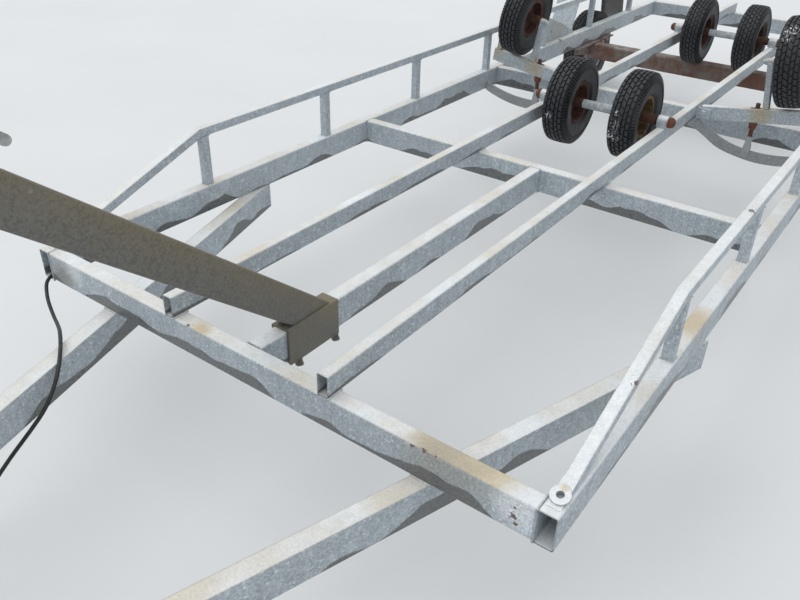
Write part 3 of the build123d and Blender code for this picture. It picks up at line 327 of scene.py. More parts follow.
def rusted_steel(name, bright, dark, amount=0.5, hub=None):
    """Bare steel rusted through: dull scaly brown with brighter orange bloom.

    A rim with its old paint left on has a hub in plain rust, given as a place on the axle and a radius.
    """
    mat = Finish(name, roughness=0.85)
    bloom = mat.cloud(35.0, 0.5 - amount * 0.3, 0.75 - amount * 0.25)
    scale = mat.cloud(220.0, 0.3, 0.7, detail=3.0)
    body = mat.blend(bloom, dark, bright)
    if hub:
        gap = mat.compare("DISTANCE", mat.stretched(1.0, 0.0, 1.0), hub[0])
        plain = mat.blend(bloom, colours().dark_rust, "#5f3a29")
        body = mat.blend(mat.ramp(gap, hub[1] + 0.004, hub[1]), body, plain)
    return mat.done(mat.blend(scale, body, "#2b1c17", 0.3), scale, 0.0008, 0.6)


def rusted_tube(name):
    """Grey-brown painted axle tube, greyer on top, partly grey paint and partly a painted highlight, with
    rust breaking through in flakes.
    """
    mat = Finish(name, roughness=0.7)
    flake = mat.cloud(7.0, 0.4, 0.58, detail=6.0, roughness=0.72)
    broad = mat.cloud(2.5)
    scale = mat.cloud(180.0, 0.3, 0.7, detail=3.0)
    edges = mat.rounded(0.006)
    paint = mat.blend(broad, "#766e69", "#5f544c")
    # The pale grey on the top face and rounded top edges is partly grey paint and partly a painted highlight.
    paint = mat.layers(paint, (scale, "#857b74", 0.35), (mat.facing_up(edges), "#9b9490", 0.75))
    body = mat.blend(flake, paint, mat.blend(scale, "#43312a", "#74452f"), 0.85)
    return mat.done(body, mat.maths("ADD", flake, scale), 0.0008, 0.5, edges=edges)


def keel_axle_finish(name):
    """Keel axles: orange rust on the caps and rod, dull zinc on the spacer tube between the wheels."""
    mat = Finish(name, roughness=0.75)
    spacer = mat.ramp(mat.maths("ABSOLUTE", mat.axis("Y")), 0.1135, 0.1125)
    bloom = mat.cloud(40.0)
    scale = mat.cloud(220.0, 0.3, 0.7, detail=3.0)
    rust = mat.blend(scale, mat.blend(bloom, colours().rust, "#5f3a29"), "#452b20", 0.5)
    return mat.done(mat.blend(spacer, rust, mat.blend(bloom, "#c6cbcd", "#9da4a7")), scale, 0.0007)


def screw_finish(name):
    """Adjusting screws: zinc on the fork, dark rust on the rod above it, with a 3 mm thread."""
    mat = Finish(name, roughness=0.75)
    rod = mat.ramp(mat.axis("Z"), 0.531, 0.535)
    rust = mat.blend(mat.cloud(60.0), "#4a2e24", "#6f4430")
    zinc = mat.blend(mat.cloud(300.0, 0.3, 0.7, detail=3.0), "#a5a9ab", "#84898c")
    thread = mat.wave(math.pi / 10 / sizes().thread_pitch, "Z")
    return mat.done(mat.blend(rod, zinc, rust), mat.times(thread, rod), 0.0014, 0.9)


def tyre_rubber(name, splashes=()):
    """Vulcanised rubber: grey-black and dull with dust on the block tops, near black in the grooves as
    painted shade.

    The tread attribute is 1 on a block's top and 0 in a groove. Some tyres have pale dried splashes.
    """
    mat = Finish(name, roughness=0.72)
    dust = mat.cloud(22.0, 0.35, 0.75)
    grain = mat.cloud(400.0, 0.3, 0.7, detail=2.0)
    worn = mat.blend(mat.within(dust, 0.2, 0.75), colours().rubber, "#34363c")
    # Grooves and shoulders between the ribs are painted near black, darker than the rubber itself: painted
    # shade.
    body = mat.blend(mat.ramp(mat.attribute("tread"), 0.25, 0.85), "#08090a", worn)
    if splashes:
        body = mat.blend(mat.times(mat.cloud(95.0, 0.54, 0.58), mat.spots(splashes)), body, "#dfe3e5")
    return mat.done(body, grain, 0.0003, 0.4, mat.within(dust, 0.42, 0.62))


def old_coating(name, lower, upper):
    """Old coating on the winch post: satin, speckled, grey below and olive brown along the upper edge."""
    mat = Finish(name, roughness=0.42)
    from_foot = mat.compare("SUBTRACT", mat.place, POST_FOOT, "Vector")
    across = mat.compare("DOT_PRODUCT", from_foot, POST_OUT)
    fade = mat.cloud(5.0, 0.3, 0.7)
    fine = mat.cloud(150.0, 0.3, 0.7, detail=3.0, roughness=0.7)
    scuff = mat.cloud(1.0, 0.7, 0.76, detail=5.0, place=mat.stretched(26.0, 90.0, 34.0))
    edge = mat.times(mat.ramp(across, -0.03, 0.062), mat.within(fade, 0.55, 1.0))
    body = mat.blend(edge, mat.blend(fade, colours().coating, lower), upper)
    body = mat.blend(fine, body, "#86806f", 0.5)
    body = mat.blend(mat.ramp(fine, 0.5, 0.0, 0.0, 0.35), body, "#3c3a34")
    body = mat.blend(mat.times(scuff, 0.3), body, "#b9b7b0")
    return mat.done(body, fine, 0.0005, 0.5, mat.within(fine, 0.36, 0.58), mat.rounded(0.006))


def bright_zinc(name, code="#b9bcbb"):
    """Zinc-plated steel: fine bright grey with dull cloudy patches."""
    mat = Finish(name, metallic=0.85, roughness=0.38)
    patch = mat.cloud(30.0, 0.35, 0.7)
    body = mat.blend(patch, code, "#8f9190")
    return mat.done(body, mat.cloud(300.0), 0.0002, 0.3, mat.within(patch, 0.3, 0.5))


def silver_paint(name):
    """Silver stove enamel on a pressed wheel: fine metallic grain, brown brake dust, and hand holes painted
    near black as painted shade.
    """
    mat = Finish(name, metallic=0.5, roughness=0.42)
    flake = mat.cloud(700.0, 0.3, 0.7, detail=1.0)
    dust = mat.times(mat.cloud(14.0, 0.45, 0.75), 0.6)
    body = mat.blend(dust, mat.blend(flake, "#a9acae", "#bfc2c4"), "#6f655b")
    # The hand holes are shallow pockets whose bottoms are painted near black: painted shade standing in for
    # the dark seen through a real hole.
    return mat.done(mat.blend(mat.attribute("hole_shade"), body, "#141414"), flake, 0.0002, 0.3)


def cast_zinc(name):
    """Zinc-plated casting: satin grey, finely pitted, with dull brown bloom in places."""
    mat = Finish(name, metallic=0.6, roughness=0.5)
    pits = mat.cloud(320.0, 0.3, 0.7, detail=2.0)
    bloom = mat.times(mat.cloud(22.0, 0.55, 0.75), 0.5)
    body = mat.blend(bloom, mat.blend(pits, "#8b8f90", "#a9acac"), "#6a5b4c")
    return mat.done(body, pits, 0.0005)


def moulded_plastic(name, code, roughness=0.45):
    """Moulded plastic: even colour with a fine leathery texture and slight fading."""
    mat = Finish(name, roughness=roughness)
    body = mat.blend(mat.cloud(40.0, 0.3, 0.7), code, shade(code, 1.35, 0.01))
    return mat.done(body, mat.cloud(600.0), 0.0002, 0.35)


def lamp_lens(name, code):
    """Acrylic lens with a clear coat: deep colour, darker in each rib's hollow as painted shade, with upright
    optic ribs every 4 mm.
    """
    mat = Finish(name, roughness=0.18)
    mat.shader.inputs["Coat Weight"].default_value = 0.6
    ribs = mat.wave(80.0, "Y")
    # Each rib's hollow is painted darker than the lens colour: painted shade.
    return mat.done(mat.blend(ribs, shade(code, 0.55), code), ribs, 0.0008, 0.6)


def woven_strap(name, code):
    """Polyester webbing: dull woven band with a 2 mm twill, darker in the twill's hollows as painted shade.
    """
    mat = Finish(name, roughness=0.9)
    twill = mat.wave(160.0, "DIAGONAL", 0.4)
    # The twill's hollows are painted darker than the webbing: painted shade.
    return mat.done(mat.blend(twill, shade(code, 0.6), code), twill, 0.0006, 0.6)


def cable_sheath(name):
    """Soft PVC cable sheath: matt black with a little dust on its upper side."""
    mat = Finish(name, roughness=0.55)
    dust = mat.times(mat.facing_up(), mat.cloud(60.0, 0.4, 0.7))
    return mat.done(mat.blend(mat.times(dust, 0.35), "#1c1d1f", "#5d5a55"), mat.cloud(500.0), 0.0002, 0.3)


def dress(material, *names):
    """Give CAD nodes a material."""
    for name in names:
        mesh = nodes[name].data
        mesh.materials.clear()
        mesh.materials.append(material)


# Modelling tools


def edit():
    """Go into edit mode."""
    bpy.ops.object.mode_set(mode="EDIT")


def leave():
    """Go back to object mode."""
    bpy.ops.object.mode_set(mode="OBJECT")


def clear():
    """Go back to object mode, if need be, with nothing selected."""
    if bpy.context.object and bpy.context.object.mode != "OBJECT":
        leave()
    bpy.ops.object.select_all(action="DESELECT")


def choose(*pieces):
    """Select only these pieces, the first one active."""
    clear()
    for piece in pieces:
        piece.select_set(True)
    bpy.context.view_layer.objects.active = pieces[0]


def begin(kind, **settings):
    """Add a primitive with its place in the mesh, alone selected and in object mode."""
    clear()
    getattr(bpy.ops.mesh, f"primitive_{kind}_add")(**settings)
    bpy.ops.object.transform_apply(location=True, rotation=True, scale=True)
    return bpy.context.object


def pick(piece, test):
    """Go into edit mode with only the faces selected whose centre and normal pass a test."""
    if piece.mode != "EDIT":
        edit()
    bpy.ops.mesh.select_mode(type="FACE")
    bpy.ops.mesh.select_all(action="DESELECT")
    leave()
    for face in piece.data.polygons:
        face.select = bool(test(face.center, face.normal))
    edit()


def inset(*steps, each=False):
    """Inset the selected faces by steps of a thickness and a depth."""
    for thickness, depth in steps:
        bpy.ops.mesh.inset(thickness=thickness, depth=depth, use_individual=each)


def extrude(x, y, z, size=None):
    """Extrude the selected faces by a move and then scale them."""
    bpy.ops.mesh.extrude_region_move(TRANSFORM_OT_translate={"value": (x, y, z)})
    if size:
        bpy.ops.transform.resize(value=size)


def settle(piece, name, material, body, smooth=40.0, at=None):
    """Merge doubles, point the faces outwards, put the place in the mesh, shade it and let it ride."""
    if bpy.context.object is not piece or piece.mode != "EDIT":
        choose(piece)
        edit()
    bpy.ops.mesh.select_all(action="SELECT")
    bpy.ops.mesh.remove_doubles(threshold=0.00002)
    bpy.ops.mesh.normals_make_consistent(inside=False)
    leave()
    if at is not None:
        piece.data.transform(at)
    bpy.ops.object.transform_apply(location=True, rotation=True, scale=True)
    bpy.ops.object.shade_smooth_by_angle(angle=math.radians(smooth))
    piece.name = name
    piece.data.name = name
    piece.data.materials.clear()
    piece.data.materials.append(material)
    if body:
        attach(piece, body)
    return piece


def moved(pattern, matrix):
    """A loose copy of a pattern with its own mesh, placed by a matrix that goes into the mesh."""
    twin = pattern.copy()
    twin.data = pattern.data.copy()
    bpy.context.collection.objects.link(twin)
    twin.data.transform(matrix)
    return twin


def copied(pattern, name, matrix, body, material=None):
    """A named copy of a pattern that rides on a body."""
    twin = moved(pattern, matrix)
    twin.name = name
    twin.data.name = name
    if matrix.determinant() < 0:
        twin.data.flip_normals()
    if material:
        twin.data.materials.clear()
        twin.data.materials.append(material)
    twin.parent = None
    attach(twin, body)
    return twin


def joined(pieces):
    """Several pieces as one."""
    choose(*pieces)
    bpy.ops.object.join()
    return bpy.context.object


def discard(*pieces):
    """Take pattern pieces away once their copies are made."""
    for piece in pieces:
        bpy.data.objects.remove(piece, do_unlink=True)


def spun(profile, steps):
    """A closed ring about the Y axis at the origin, from places along the axle and radii."""
    ring = begin("circle", vertices=len(profile), radius=0.1, fill_type="NOTHING")
    for vertex, (y, r) in zip(ring.data.vertices, profile):
        vertex.co = (0.0, y, r)
    edit()
    bpy.ops.mesh.select_all(action="SELECT")
    bpy.ops.mesh.spin(steps=steps, angle=2 * math.pi, center=(0.0, 0.0, 0.0), axis=(0.0, 1.0, 0.0))
    bpy.ops.mesh.select_all(action="SELECT")
    bpy.ops.mesh.remove_doubles(threshold=0.00005)
    bpy.ops.mesh.normals_make_consistent(inside=False)
    leave()
    return ring


def towards(place, direction):
    """The matrix that takes a pattern made along +Z to a place, pointing in a direction."""
    return Matrix.Translation(place) @ Vector(direction).to_track_quat("Z", "Y").to_matrix().to_4x4()


def mirror(side):
    """Nothing for the left side 1, the mirror image for the right side -1."""
    return Matrix.Scale(side, 4, (0.0, 1.0, 0.0))


def middle_of(name):
    """The matrix that takes the origin to the middle of a CAD node's box."""
    low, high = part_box(name)
    return Matrix.Translation((Vector(low) + Vector(high)) / 2)


def from_axle(place):
    """Distance of a place from the Y axis."""
    return math.hypot(place.x, place.z)


def round_axle(place, steps):
    """Turn of a place round the Y axis, in steps of a whole turn."""
    return math.degrees(math.atan2(place.z, place.x)) % 360 * steps / 360


def mark_selected(piece, name):
    """In edit mode, give the selected faces' corners a point attribute of 1."""
    leave()
    marks = piece.data.attributes[name].data
    for face in piece.data.polygons:
        if face.select:
            for corner in face.vertices:
                marks[corner].value = 1.0
    edit()


# Camera, light and floor

CAMERA_PLACE = (3.29241, 1.55341, 2.04004)
CAMERA_TURNS = (57.725, -1.274, 126.519)
CAMERA_LENS = 34.876
SENSOR_WIDTH = 36.0
SUN_TURNS = (18.0, 14.0, 0.0)
SUN_WIDTH = 70.0
FLOOR_SIZE = 60.0
FLOOR_Z = -0.0005


class TRAILER_OT_stage(bpy.types.Operator):
    """Add the camera, the soft light and the plain floor"""

    bl_idname = "trailer.stage"
    bl_label = "Stage"

    def execute(self, context):
        scene = context.scene
        scene.view_settings.view_transform = "Standard"
        camera_data = bpy.data.cameras.new("Camera")
        camera_data.lens = CAMERA_LENS
        camera_data.sensor_width = SENSOR_WIDTH
        camera = bpy.data.objects.new("Camera", camera_data)
        camera.location = CAMERA_PLACE
        camera.rotation_euler = [math.radians(turn) for turn in CAMERA_TURNS]
        scene.collection.objects.link(camera)
        scene.camera = camera

        world = bpy.data.worlds.new("Soft sky")
        world.use_nodes = True
        scene.world = world
        tree = world.node_tree
        tree.nodes.clear()
        path = add_node(tree, "ShaderNodeLightPath")
        seen = maths(tree, "MAXIMUM", path.outputs["Is Camera Ray"], path.outputs["Is Glossy Ray"])
        seen = maths(tree, "MAXIMUM", seen, path.outputs["Is Transmission Ray"])
        light = add_node(tree, "ShaderNodeBackground", {"Color": "#f4f7fa", "Strength": sizes().sky})
        backdrop = add_node(tree, "ShaderNodeBackground", {"Color": colours().floor, "Strength": 1.0})
        mixed = add_node(tree, "ShaderNodeMixShader", {0: seen, 1: light.outputs[0], 2: backdrop.outputs[0]})
        add_node(tree, "ShaderNodeOutputWorld", {"Surface": mixed.outputs[0]})

        lamp_data = bpy.data.lights.new("Overhead", "SUN")
        lamp_data.energy = sizes().sun
        lamp_data.angle = math.radians(SUN_WIDTH)
        lamp = bpy.data.objects.new("Overhead", lamp_data)
        lamp.rotation_euler = [math.radians(turn) for turn in SUN_TURNS]
        scene.collection.objects.link(lamp)

        floor = begin("plane", size=FLOOR_SIZE, location=(0.0, 0.0, FLOOR_Z))
        mat = Finish("Plain floor", roughness=0.9)
        pale = mat.blend(mat.cloud(0.6, 0.3, 0.7), colours().floor, "#ffffff", 0.12)
        settle(floor, "Floor", mat.done(pale), None)
        return {"FINISHED"}


# Cable, laid through the same points as in the CAD, with its coil

CABLE_POINTS = (
    (1.894, -1.080, 0.476), (1.996, -1.080, 0.479), (2.042, -1.030, 0.422), (2.086, -0.925, 0.400),
    (2.138, -0.800, 0.430), (2.192, -0.690, 0.476), (2.254, -0.590, 0.484), (2.319, -0.525, 0.440),
    (2.389, -0.498, 0.375), (2.464, -0.500, 0.318), (2.544, -0.510, 0.255), (2.624, -0.520, 0.180),
    (2.699, -0.526, 0.100), (2.779, -0.522, 0.032), (2.869, -0.500, 0.007),
)
CABLE_TAIL = ((2.900, -0.475, 0.0215), (2.925, -0.480, 0.022), (2.955, -0.480, 0.022), (2.985, -0.480, 0.022))
CABLE_RADIUS = 0.007
COIL_CENTRE = (2.919, -0.391)
COIL_START = -69.0
COIL_STEPS = 18
# Radius and height of each turn
COIL_TURNS = ((0.084, 0.007), (0.070, 0.007), (0.070, 0.0215), (0.084, 0.0215))
PLUG_X = 2.981
PLUG_Y = -0.488
PLUG_RADIUS = 0.022
PLUG_LENGTH = 0.044
PIN_X = PLUG_X + 0.041
PIN_CIRCLE = 0.010
PIN_RADIUS = 0.002
PIN_LENGTH = 0.014


def coil_points():
    """Four turns: two flat on the ground and two more on top of them, each in steps of 20 degrees."""
    points = []
    for turn, (radius, height) in enumerate(COIL_TURNS):
        after_radius, after_height = COIL_TURNS[min(turn + 1, len(COIL_TURNS) - 1)]
        for step in range(COIL_STEPS):
            blend = max(0.0, (step - COIL_STEPS + 3) / 3)
            angle = math.radians(COIL_START + step * 360.0 / COIL_STEPS)
            r = radius + (after_radius - radius) * blend
            x, y = COIL_CENTRE[0] + r * math.cos(angle), COIL_CENTRE[1] + r * math.sin(angle)
            points.append((x, y, height + (after_height - height) * blend))
    return points


def lying_cylinder(vertices, radius, depth, location):
    """A cylinder along the X axis."""
    turn = (0.0, math.pi / 2, 0.0)
    return begin("cylinder", vertices=vertices, radius=radius, depth=depth, location=location, rotation=turn)


class TRAILER_OT_cable(bpy.types.Operator):
    """Lay the lighting cable with its coil and plug"""

    bl_idname = "trailer.cable"
    bl_label = "Cable"

    def execute(self, context):
        points = [*CABLE_POINTS, *coil_points(), *CABLE_TAIL]
        curve = bpy.data.curves.new("Cable", "CURVE")
        curve.dimensions = "3D"
        curve.bevel_depth = CABLE_RADIUS
        curve.bevel_resolution = 4
        curve.use_fill_caps = True
        curve.resolution_u = 6
        spline = curve.splines.new("NURBS")
        spline.points.add(len(points) - 1)
        for point, where in zip(spline.points, points):
            point.co = (*where, 1.0)
        spline.order_u = 3
        spline.use_endpoint_u = True
        flex = bpy.data.objects.new("Cable", curve)
        context.collection.objects.link(flex)
        curve.materials.append(cable_sheath("Cable sheath"))
        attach(flex, "frame")
        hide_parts("cable", "cable_coil")

        plug = lying_cylinder(40, PLUG_RADIUS, PLUG_LENGTH, (PLUG_X + PLUG_LENGTH / 2, PLUG_Y, PLUG_RADIUS))
        pick(plug, lambda centre, normal: normal.x < -0.9)
        extrude(-0.006, 0.0, 0.0, size=(1.0, 0.72, 0.72))
        extrude(-0.014, 0.0025, 0.0, size=(1.0, 0.62, 0.62))
        pick(plug, lambda centre, normal: normal.x > 0.9)
        inset((0.003, 0.0))
        extrude(-0.012, 0.0, 0.0)
        pick(plug, lambda centre, normal: abs(normal.x) < 0.2 and centre.x > PLUG_X)
        inset((0.0006, 0.0008), each=True)
        settle(plug, "plug_body", moulded_plastic("Plug plastic", "#2c2d30"), "frame")
        pins = []
        for n in range(7):
            turn = math.radians(n * 60.0)
            out = 0.0 if n == 6 else PIN_CIRCLE
            place = (PIN_X, PLUG_Y + out * math.cos(turn), PLUG_RADIUS + out * math.sin(turn))
            pins.append(lying_cylinder(12, PIN_RADIUS, PIN_LENGTH, place))
            edit()
            bpy.ops.mesh.select_all(action="SELECT")
            bpy.ops.mesh.bevel(offset=0.0006, segments=1)
        pins = settle(joined(pins), "plug_pins", bright_zinc("Pin metal", "#c9b27a"), "frame")
        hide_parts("plug")
        return {"FINISHED"}


# Tyres

# Radius, width, bead radius, rim flange's radius and half of the beads' distance
SMALL_TYRE = (0.235, 0.140, 0.1023, 0.1153, 0.0477)
ROAD_TYRE = (0.3163, 0.171, 0.1783, 0.1923, 0.0637)
ROAD_TREAD_DEPTH = 0.006
ROAD_RIBS = 96
TREAD_SHARE = 0.40
SHOULDER_SHARE = 0.33
CROWN_DROP = 0.006
TREAD_ROWS = (-0.62, -0.24, 0.24, 0.62)
TREAD_ZIGZAG = ((-1.0, 0.0), (-0.62, 0.6), (-0.24, -1.0), (0.24, 1.0), (0.62, -0.6), (1.0, 0.0))
SMALL_WHEELS = (
    # Name, side of a sloping arm or 0, places and radii of pale splashes
    ("keel_front_left", 0,
     (((-0.487, 0.170, 0.696), 0.035), ((-0.495, 0.160, 0.640), 0.045), ((-0.498, 0.165, 0.755), 0.02))),
    ("keel_front_right", 0, (((-0.490, -0.210, 0.660), 0.025),)),
    ("keel_rear_left", 0, ()),
    ("keel_rear_right", 0, ()),
    ("support_left", 1, (((-1.120, 0.760, 1.152), 0.045), ((-1.089, 0.755, 1.110), 0.025))),
    ("support_right", -1, ()),
)


def tyre_profile(size, depth):
    """Closed cross-section of a tyre from bead to bead: distance along the axle and radius."""
    radius, width, bead_radius, flange_radius, bead_half = size
    root = radius - depth
    tread = width * TREAD_SHARE
    out = width * 0.5
    bulge = flange_radius + (radius - flange_radius) * 0.42
    half = (
        (bead_half - 0.006, bead_radius),
        (bead_half, bead_radius),
        (bead_half, flange_radius),
        (bead_half + 0.35 * (out - bead_half), flange_radius + 0.006),
        (bead_half + 0.8 * (out - bead_half), flange_radius + 0.35 * (bulge - flange_radius)),
        (out, bulge),
        (out, bulge + 0.25 * (root - bulge)),
        (out - 0.004, bulge + 0.55 * (root - bulge)),
        (tread + 0.35 * (out - tread), root - 0.16 * (radius - flange_radius)),
        (tread, root - 0.0035),
        (tread * 0.62, root - 0.0008),
        (tread * 0.24, root),
    )
    return [*half, *((-y, r) for y, r in reversed(half))]


def between(knots, value):
    """Height of a line through knots at a value."""
    for (low, first), (high, last) in zip(knots, knots[1:]):
        if low <= value <= high:
            return first + (last - first) * (value - low) / (high - low)
    return 0.0


def tyre_pattern(size, depth, ribs):
    """A tyre about the Y axis at the origin: spun carcass, interlocking tread blocks and shoulder ribs.

    A block is two ribs long, and the blocks of the next row are set half a block on. The number of ribs
    is a multiple of four. Blocks that touch are raised in separate rounds.
    """
    tyre = spun(tyre_profile(size, depth), ribs)
    radius, width, flange_radius = size[0], size[1], size[3]
    tread = width * TREAD_SHARE
    crown = radius - depth - CROWN_DROP
    lowest = radius - depth - SHOULDER_SHARE * (radius - flange_radius)
    marks = tyre.data.attributes.new("tread", "FLOAT", "POINT")
    # The tread value drives painted shade: 0 is near black in the grooves and on the shoulders, 0.8 on the
    # sidewall and 1 on a raised top.
    for index, vertex in enumerate(tyre.data.vertices):
        marks.data[index].value = 0.8 if from_axle(vertex.co) < lowest else 0.0

    def is_block(centre, row_turn, block_turn):
        row = sum(centre.y > edge * tread for edge in TREAD_ROWS)
        on_tread = abs(centre.y) < tread and from_axle(centre) > crown
        column = int(round_axle(centre, ribs)) + row
        return on_tread and row % 2 == row_turn and column // 2 % 2 == block_turn

    def is_rib(centre, rib_turn):
        on_shoulder = abs(centre.y) > tread and from_axle(centre) > lowest
        return on_shoulder and int(round_axle(centre, ribs)) % 2 == rib_turn

    for row_turn, block_turn in ((0, 0), (0, 1), (1, 0), (1, 1)):
        pick(tyre, lambda centre, normal: is_block(centre, row_turn, block_turn))
        inset((0.0028, 0.0), (0.0010, depth))
        mark_selected(tyre, "tread")
    for rib_turn in (0, 1):
        pick(tyre, lambda centre, normal: is_rib(centre, rib_turn))
        inset((0.0026, 0.0), (0.0010, depth * 0.7))
        mark_selected(tyre, "tread")
    leave()
    for vertex in tyre.data.vertices:
        if from_axle(vertex.co) > crown:
            swing = between(TREAD_ZIGZAG, vertex.co.y / tread) * math.pi / ribs
            vertex.co = Matrix.Rotation(swing, 4, "Y") @ vertex.co
    return tyre


def slope(side):
    """Turn of a support wheel on its sloping arm, for the left side 1, the right side -1 or 0 for none."""
    return Matrix.Rotation(side * SUPPORT_SLOPE, 4, "X")


class TRAILER_OT_small_tyres(bpy.types.Operator):
    """Model the keel and support wheels' treaded tyres"""

    bl_idname = "trailer.small_tyres"
    bl_label = "Small tyres"

    def execute(self, context):
        plain = tyre_rubber("Tyre rubber")
        pattern = tyre_pattern(SMALL_TYRE, sizes().tread_depth, sizes().tread_ribs)
        settle(pattern, "Small tyre pattern", plain, None, smooth=28.0)
        for name, side, splashes in SMALL_WHEELS:
            turn = slope(side) if side else Matrix.Rotation(math.radians(23.0 * len(name)), 4, "Y")
            rubber = tyre_rubber(f"Splashed rubber of {name}", splashes) if splashes else plain
            place = middle_of(f"{name}_tyre") @ turn
            piece = copied(pattern, f"{name}_treaded_tyre", place, f"{name}_wheel", rubber)
            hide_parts(f"{name}_tyre")
        discard(pattern)
        return {"FINISHED"}


class TRAILER_OT_road_tyres(bpy.types.Operator):
    """Model the road wheels' tyres"""

    bl_idname = "trailer.road_tyres"
    bl_label = "Road tyres"

    def execute(self, context):
        pattern = tyre_pattern(ROAD_TYRE, ROAD_TREAD_DEPTH, ROAD_RIBS)
        settle(pattern, "Road tyre pattern", tyre_rubber("Road tyre rubber"), None, smooth=28.0)
        for side, _ in SIDES:
            place = middle_of(f"road_{side}_tyre")
            piece = copied(pattern, f"road_{side}_treaded_tyre", place, f"road_{side}_wheel")
            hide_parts(f"road_{side}_tyre")
        discard(pattern)
        return {"FINISHED"}


# Bolts and welds

# Places along the trailer, distance from its middle and height of each group of bolts
MOUNT_BOLTS = ((-2.70, -2.80, -3.14, -3.24), 1.042, 0.432)
COUPLING_BOLTS = ((4.06, 4.13), 0.024, 0.472)
CLAMP_BOLTS = ((3.515, 3.573), 0.305, 0.40)
WINCH_BASE = Vector((2.690, 0.0, 1.500))
WINCH_BOLTS_REACH = 0.058
WINCH_BOLTS_Y = 0.026
BEAM_FRONTS = (FRONT_X, 0.032, -1.388, -4.296)
GUARD_POSTS = (1.157, 0.342, -0.473, -1.288, -2.103, -2.918, -3.733)
GUARD_HALF = 0.02
GUARD_LOW = 0.808
SLEEVES = (-0.720, -2.898)
SLEEVE_FOOT = 0.664
SLEEVE_HALF = 0.015
ARM_FRONT = (3.870, 0.07462)
ARM_SLOPE = 0.33
ARM_HALF = 0.0316
CENTRE_ENDS = (1.924, 0.032)
STAY_STITCHES = (-2.22, -2.40, -2.58)
STAY_Y = 1.094
STITCH_HALF = 0.03
RIPPLE_SPACING = 0.005


def hex_bolt(across=0.019, high=0.010):
    """Pattern of a hexagon head with its washer, standing on the origin along +Z."""
    washer = begin("cylinder", vertices=20, radius=across * 0.62, depth=0.002, location=(0.0, 0.0, 0.001))
    middle = (0.0, 0.0, 0.002 + high / 2)
    head = begin("cylinder", vertices=6, radius=across / math.sqrt(3.0), depth=high, location=middle)
    pick(head, lambda centre, normal: normal.z > 0.9)
    inset((across * 0.07, 0.0))
    bpy.ops.transform.translate(value=(0.0, 0.0, 0.0012))
    inset((across * 0.12, -0.0005))
    return joined([washer, head])


def bolt_places():
    """Place and direction of every bolt on the frame body."""
    places = []
    for side in (1, -1):
        for (along, y, z), way in ((MOUNT_BOLTS, (0, -side, 0)), (COUPLING_BOLTS, (0, 0, 1))):
            places += [((x, side * y, z), way) for x in along]
        across = Vector((0.0, side * WINCH_BOLTS_Y, 0.0))
        for reach in (-WINCH_BOLTS_REACH, WINCH_BOLTS_REACH):
            places.append((WINCH_BASE + reach * POST_ALONG + across, POST_OUT))
    along, y, z = CLAMP_BOLTS
    return places + [((x, y, z), (0, 1, 0)) for x in along]


class TRAILER_OT_bolts(bpy.types.Operator):
    """Set hexagon bolts at the axle mounts, the coupling, the winch and the jack's clamp"""

    bl_idname = "trailer.bolts"
    bl_label = "Bolts"

    def execute(self, context):
        pattern = hex_bolt()
        bolts = joined([moved(pattern, towards(*place)) for place in bolt_places()])
        discard(pattern)
        settle(bolts, "frame_bolts", bright_zinc("Plated bolts"), "frame", smooth=25.0)
        return {"FINISHED"}


def left_seams():
    """Start, end and bead radius of each weld on the left half."""
    low, high = FRAME_LOW, FRAME_TOP
    proud = sizes().bead_width / 2
    flush = proud * 0.62
    seams = []
    for front in BEAM_FRONTS:
        rear = front - BEAM_WIDTH
        seams.append(((front, INNER_Y, high), (rear, INNER_Y, high), flush))
        seams += [((x, INNER_Y, low), (x, INNER_Y, high), proud) for x in (front, rear)]
        seams += [((front, y, high), (rear, y, high), proud) for y in KEEL_SIDES]
    near, far = SIDE_Y - GUARD_HALF, SIDE_Y + GUARD_HALF
    for at in GUARD_POSTS:
        ends = (at - GUARD_HALF, at + GUARD_HALF)
        seams += [((ends[0], y, high), (ends[1], y, high), flush) for y in (near, far)]
        seams += [((x, near, z), (x, far, z), flush) for x in ends for z in (high, GUARD_LOW)]
    for x in (FRONT_X, FRONT_X - BEAM_WIDTH):
        middle = ARM_FRONT[1] + ARM_SLOPE * (ARM_FRONT[0] - x)
        seams.append(((x, middle - ARM_HALF, low), (x, middle + ARM_HALF, low), proud))
    under_rail = ARM_FRONT[0] - (INNER_Y - ARM_FRONT[1]) / ARM_SLOPE
    reach = ARM_HALF / ARM_SLOPE
    seams.append(((under_rail - reach, INNER_Y, low), (under_rail + reach, INNER_Y, low), proud))
    for x in CENTRE_ENDS:
        seams.append(((x, BEAM_WIDTH / 2, low), (x, BEAM_WIDTH / 2, high), proud))
        seams.append(((x, 0.0, high), (x, BEAM_WIDTH / 2, high), flush))
    for at in SLEEVES:
        for x in (at - SLEEVE_HALF, at + SLEEVE_HALF):
            seams.append(((x, KEEL_SIDES[0], SLEEVE_FOOT), (x, KEEL_SIDES[1], SLEEVE_FOOT), flush))
    for at in STAY_STITCHES:
        seams.append(((at - STITCH_HALF, STAY_Y, high), (at + STITCH_HALF, STAY_Y, high), flush))
    return seams


def bead_run(start, end, radius):
    """A row of overlapping weld ripples, 5 mm apart so that they show. Real ones are 1 to 2 mm apart."""
    run = Vector(end) - Vector(start)
    bead = begin("uv_sphere", segments=8, ring_count=4, radius=radius)
    edit()
    bpy.ops.transform.resize(value=(1.0, 1.0, RIPPLE_SPACING * 0.75 / radius))
    leave()
    row = bead.modifiers.new("Ripples", "ARRAY")
    row.use_relative_offset = False
    row.use_constant_offset = True
    row.constant_offset_displace = (0.0, 0.0, RIPPLE_SPACING)
    row.count = max(2, round(run.length / RIPPLE_SPACING) + 1)
    bpy.ops.object.modifier_apply(modifier=row.name)
    bead.data.transform(towards(start, run))
    return bead


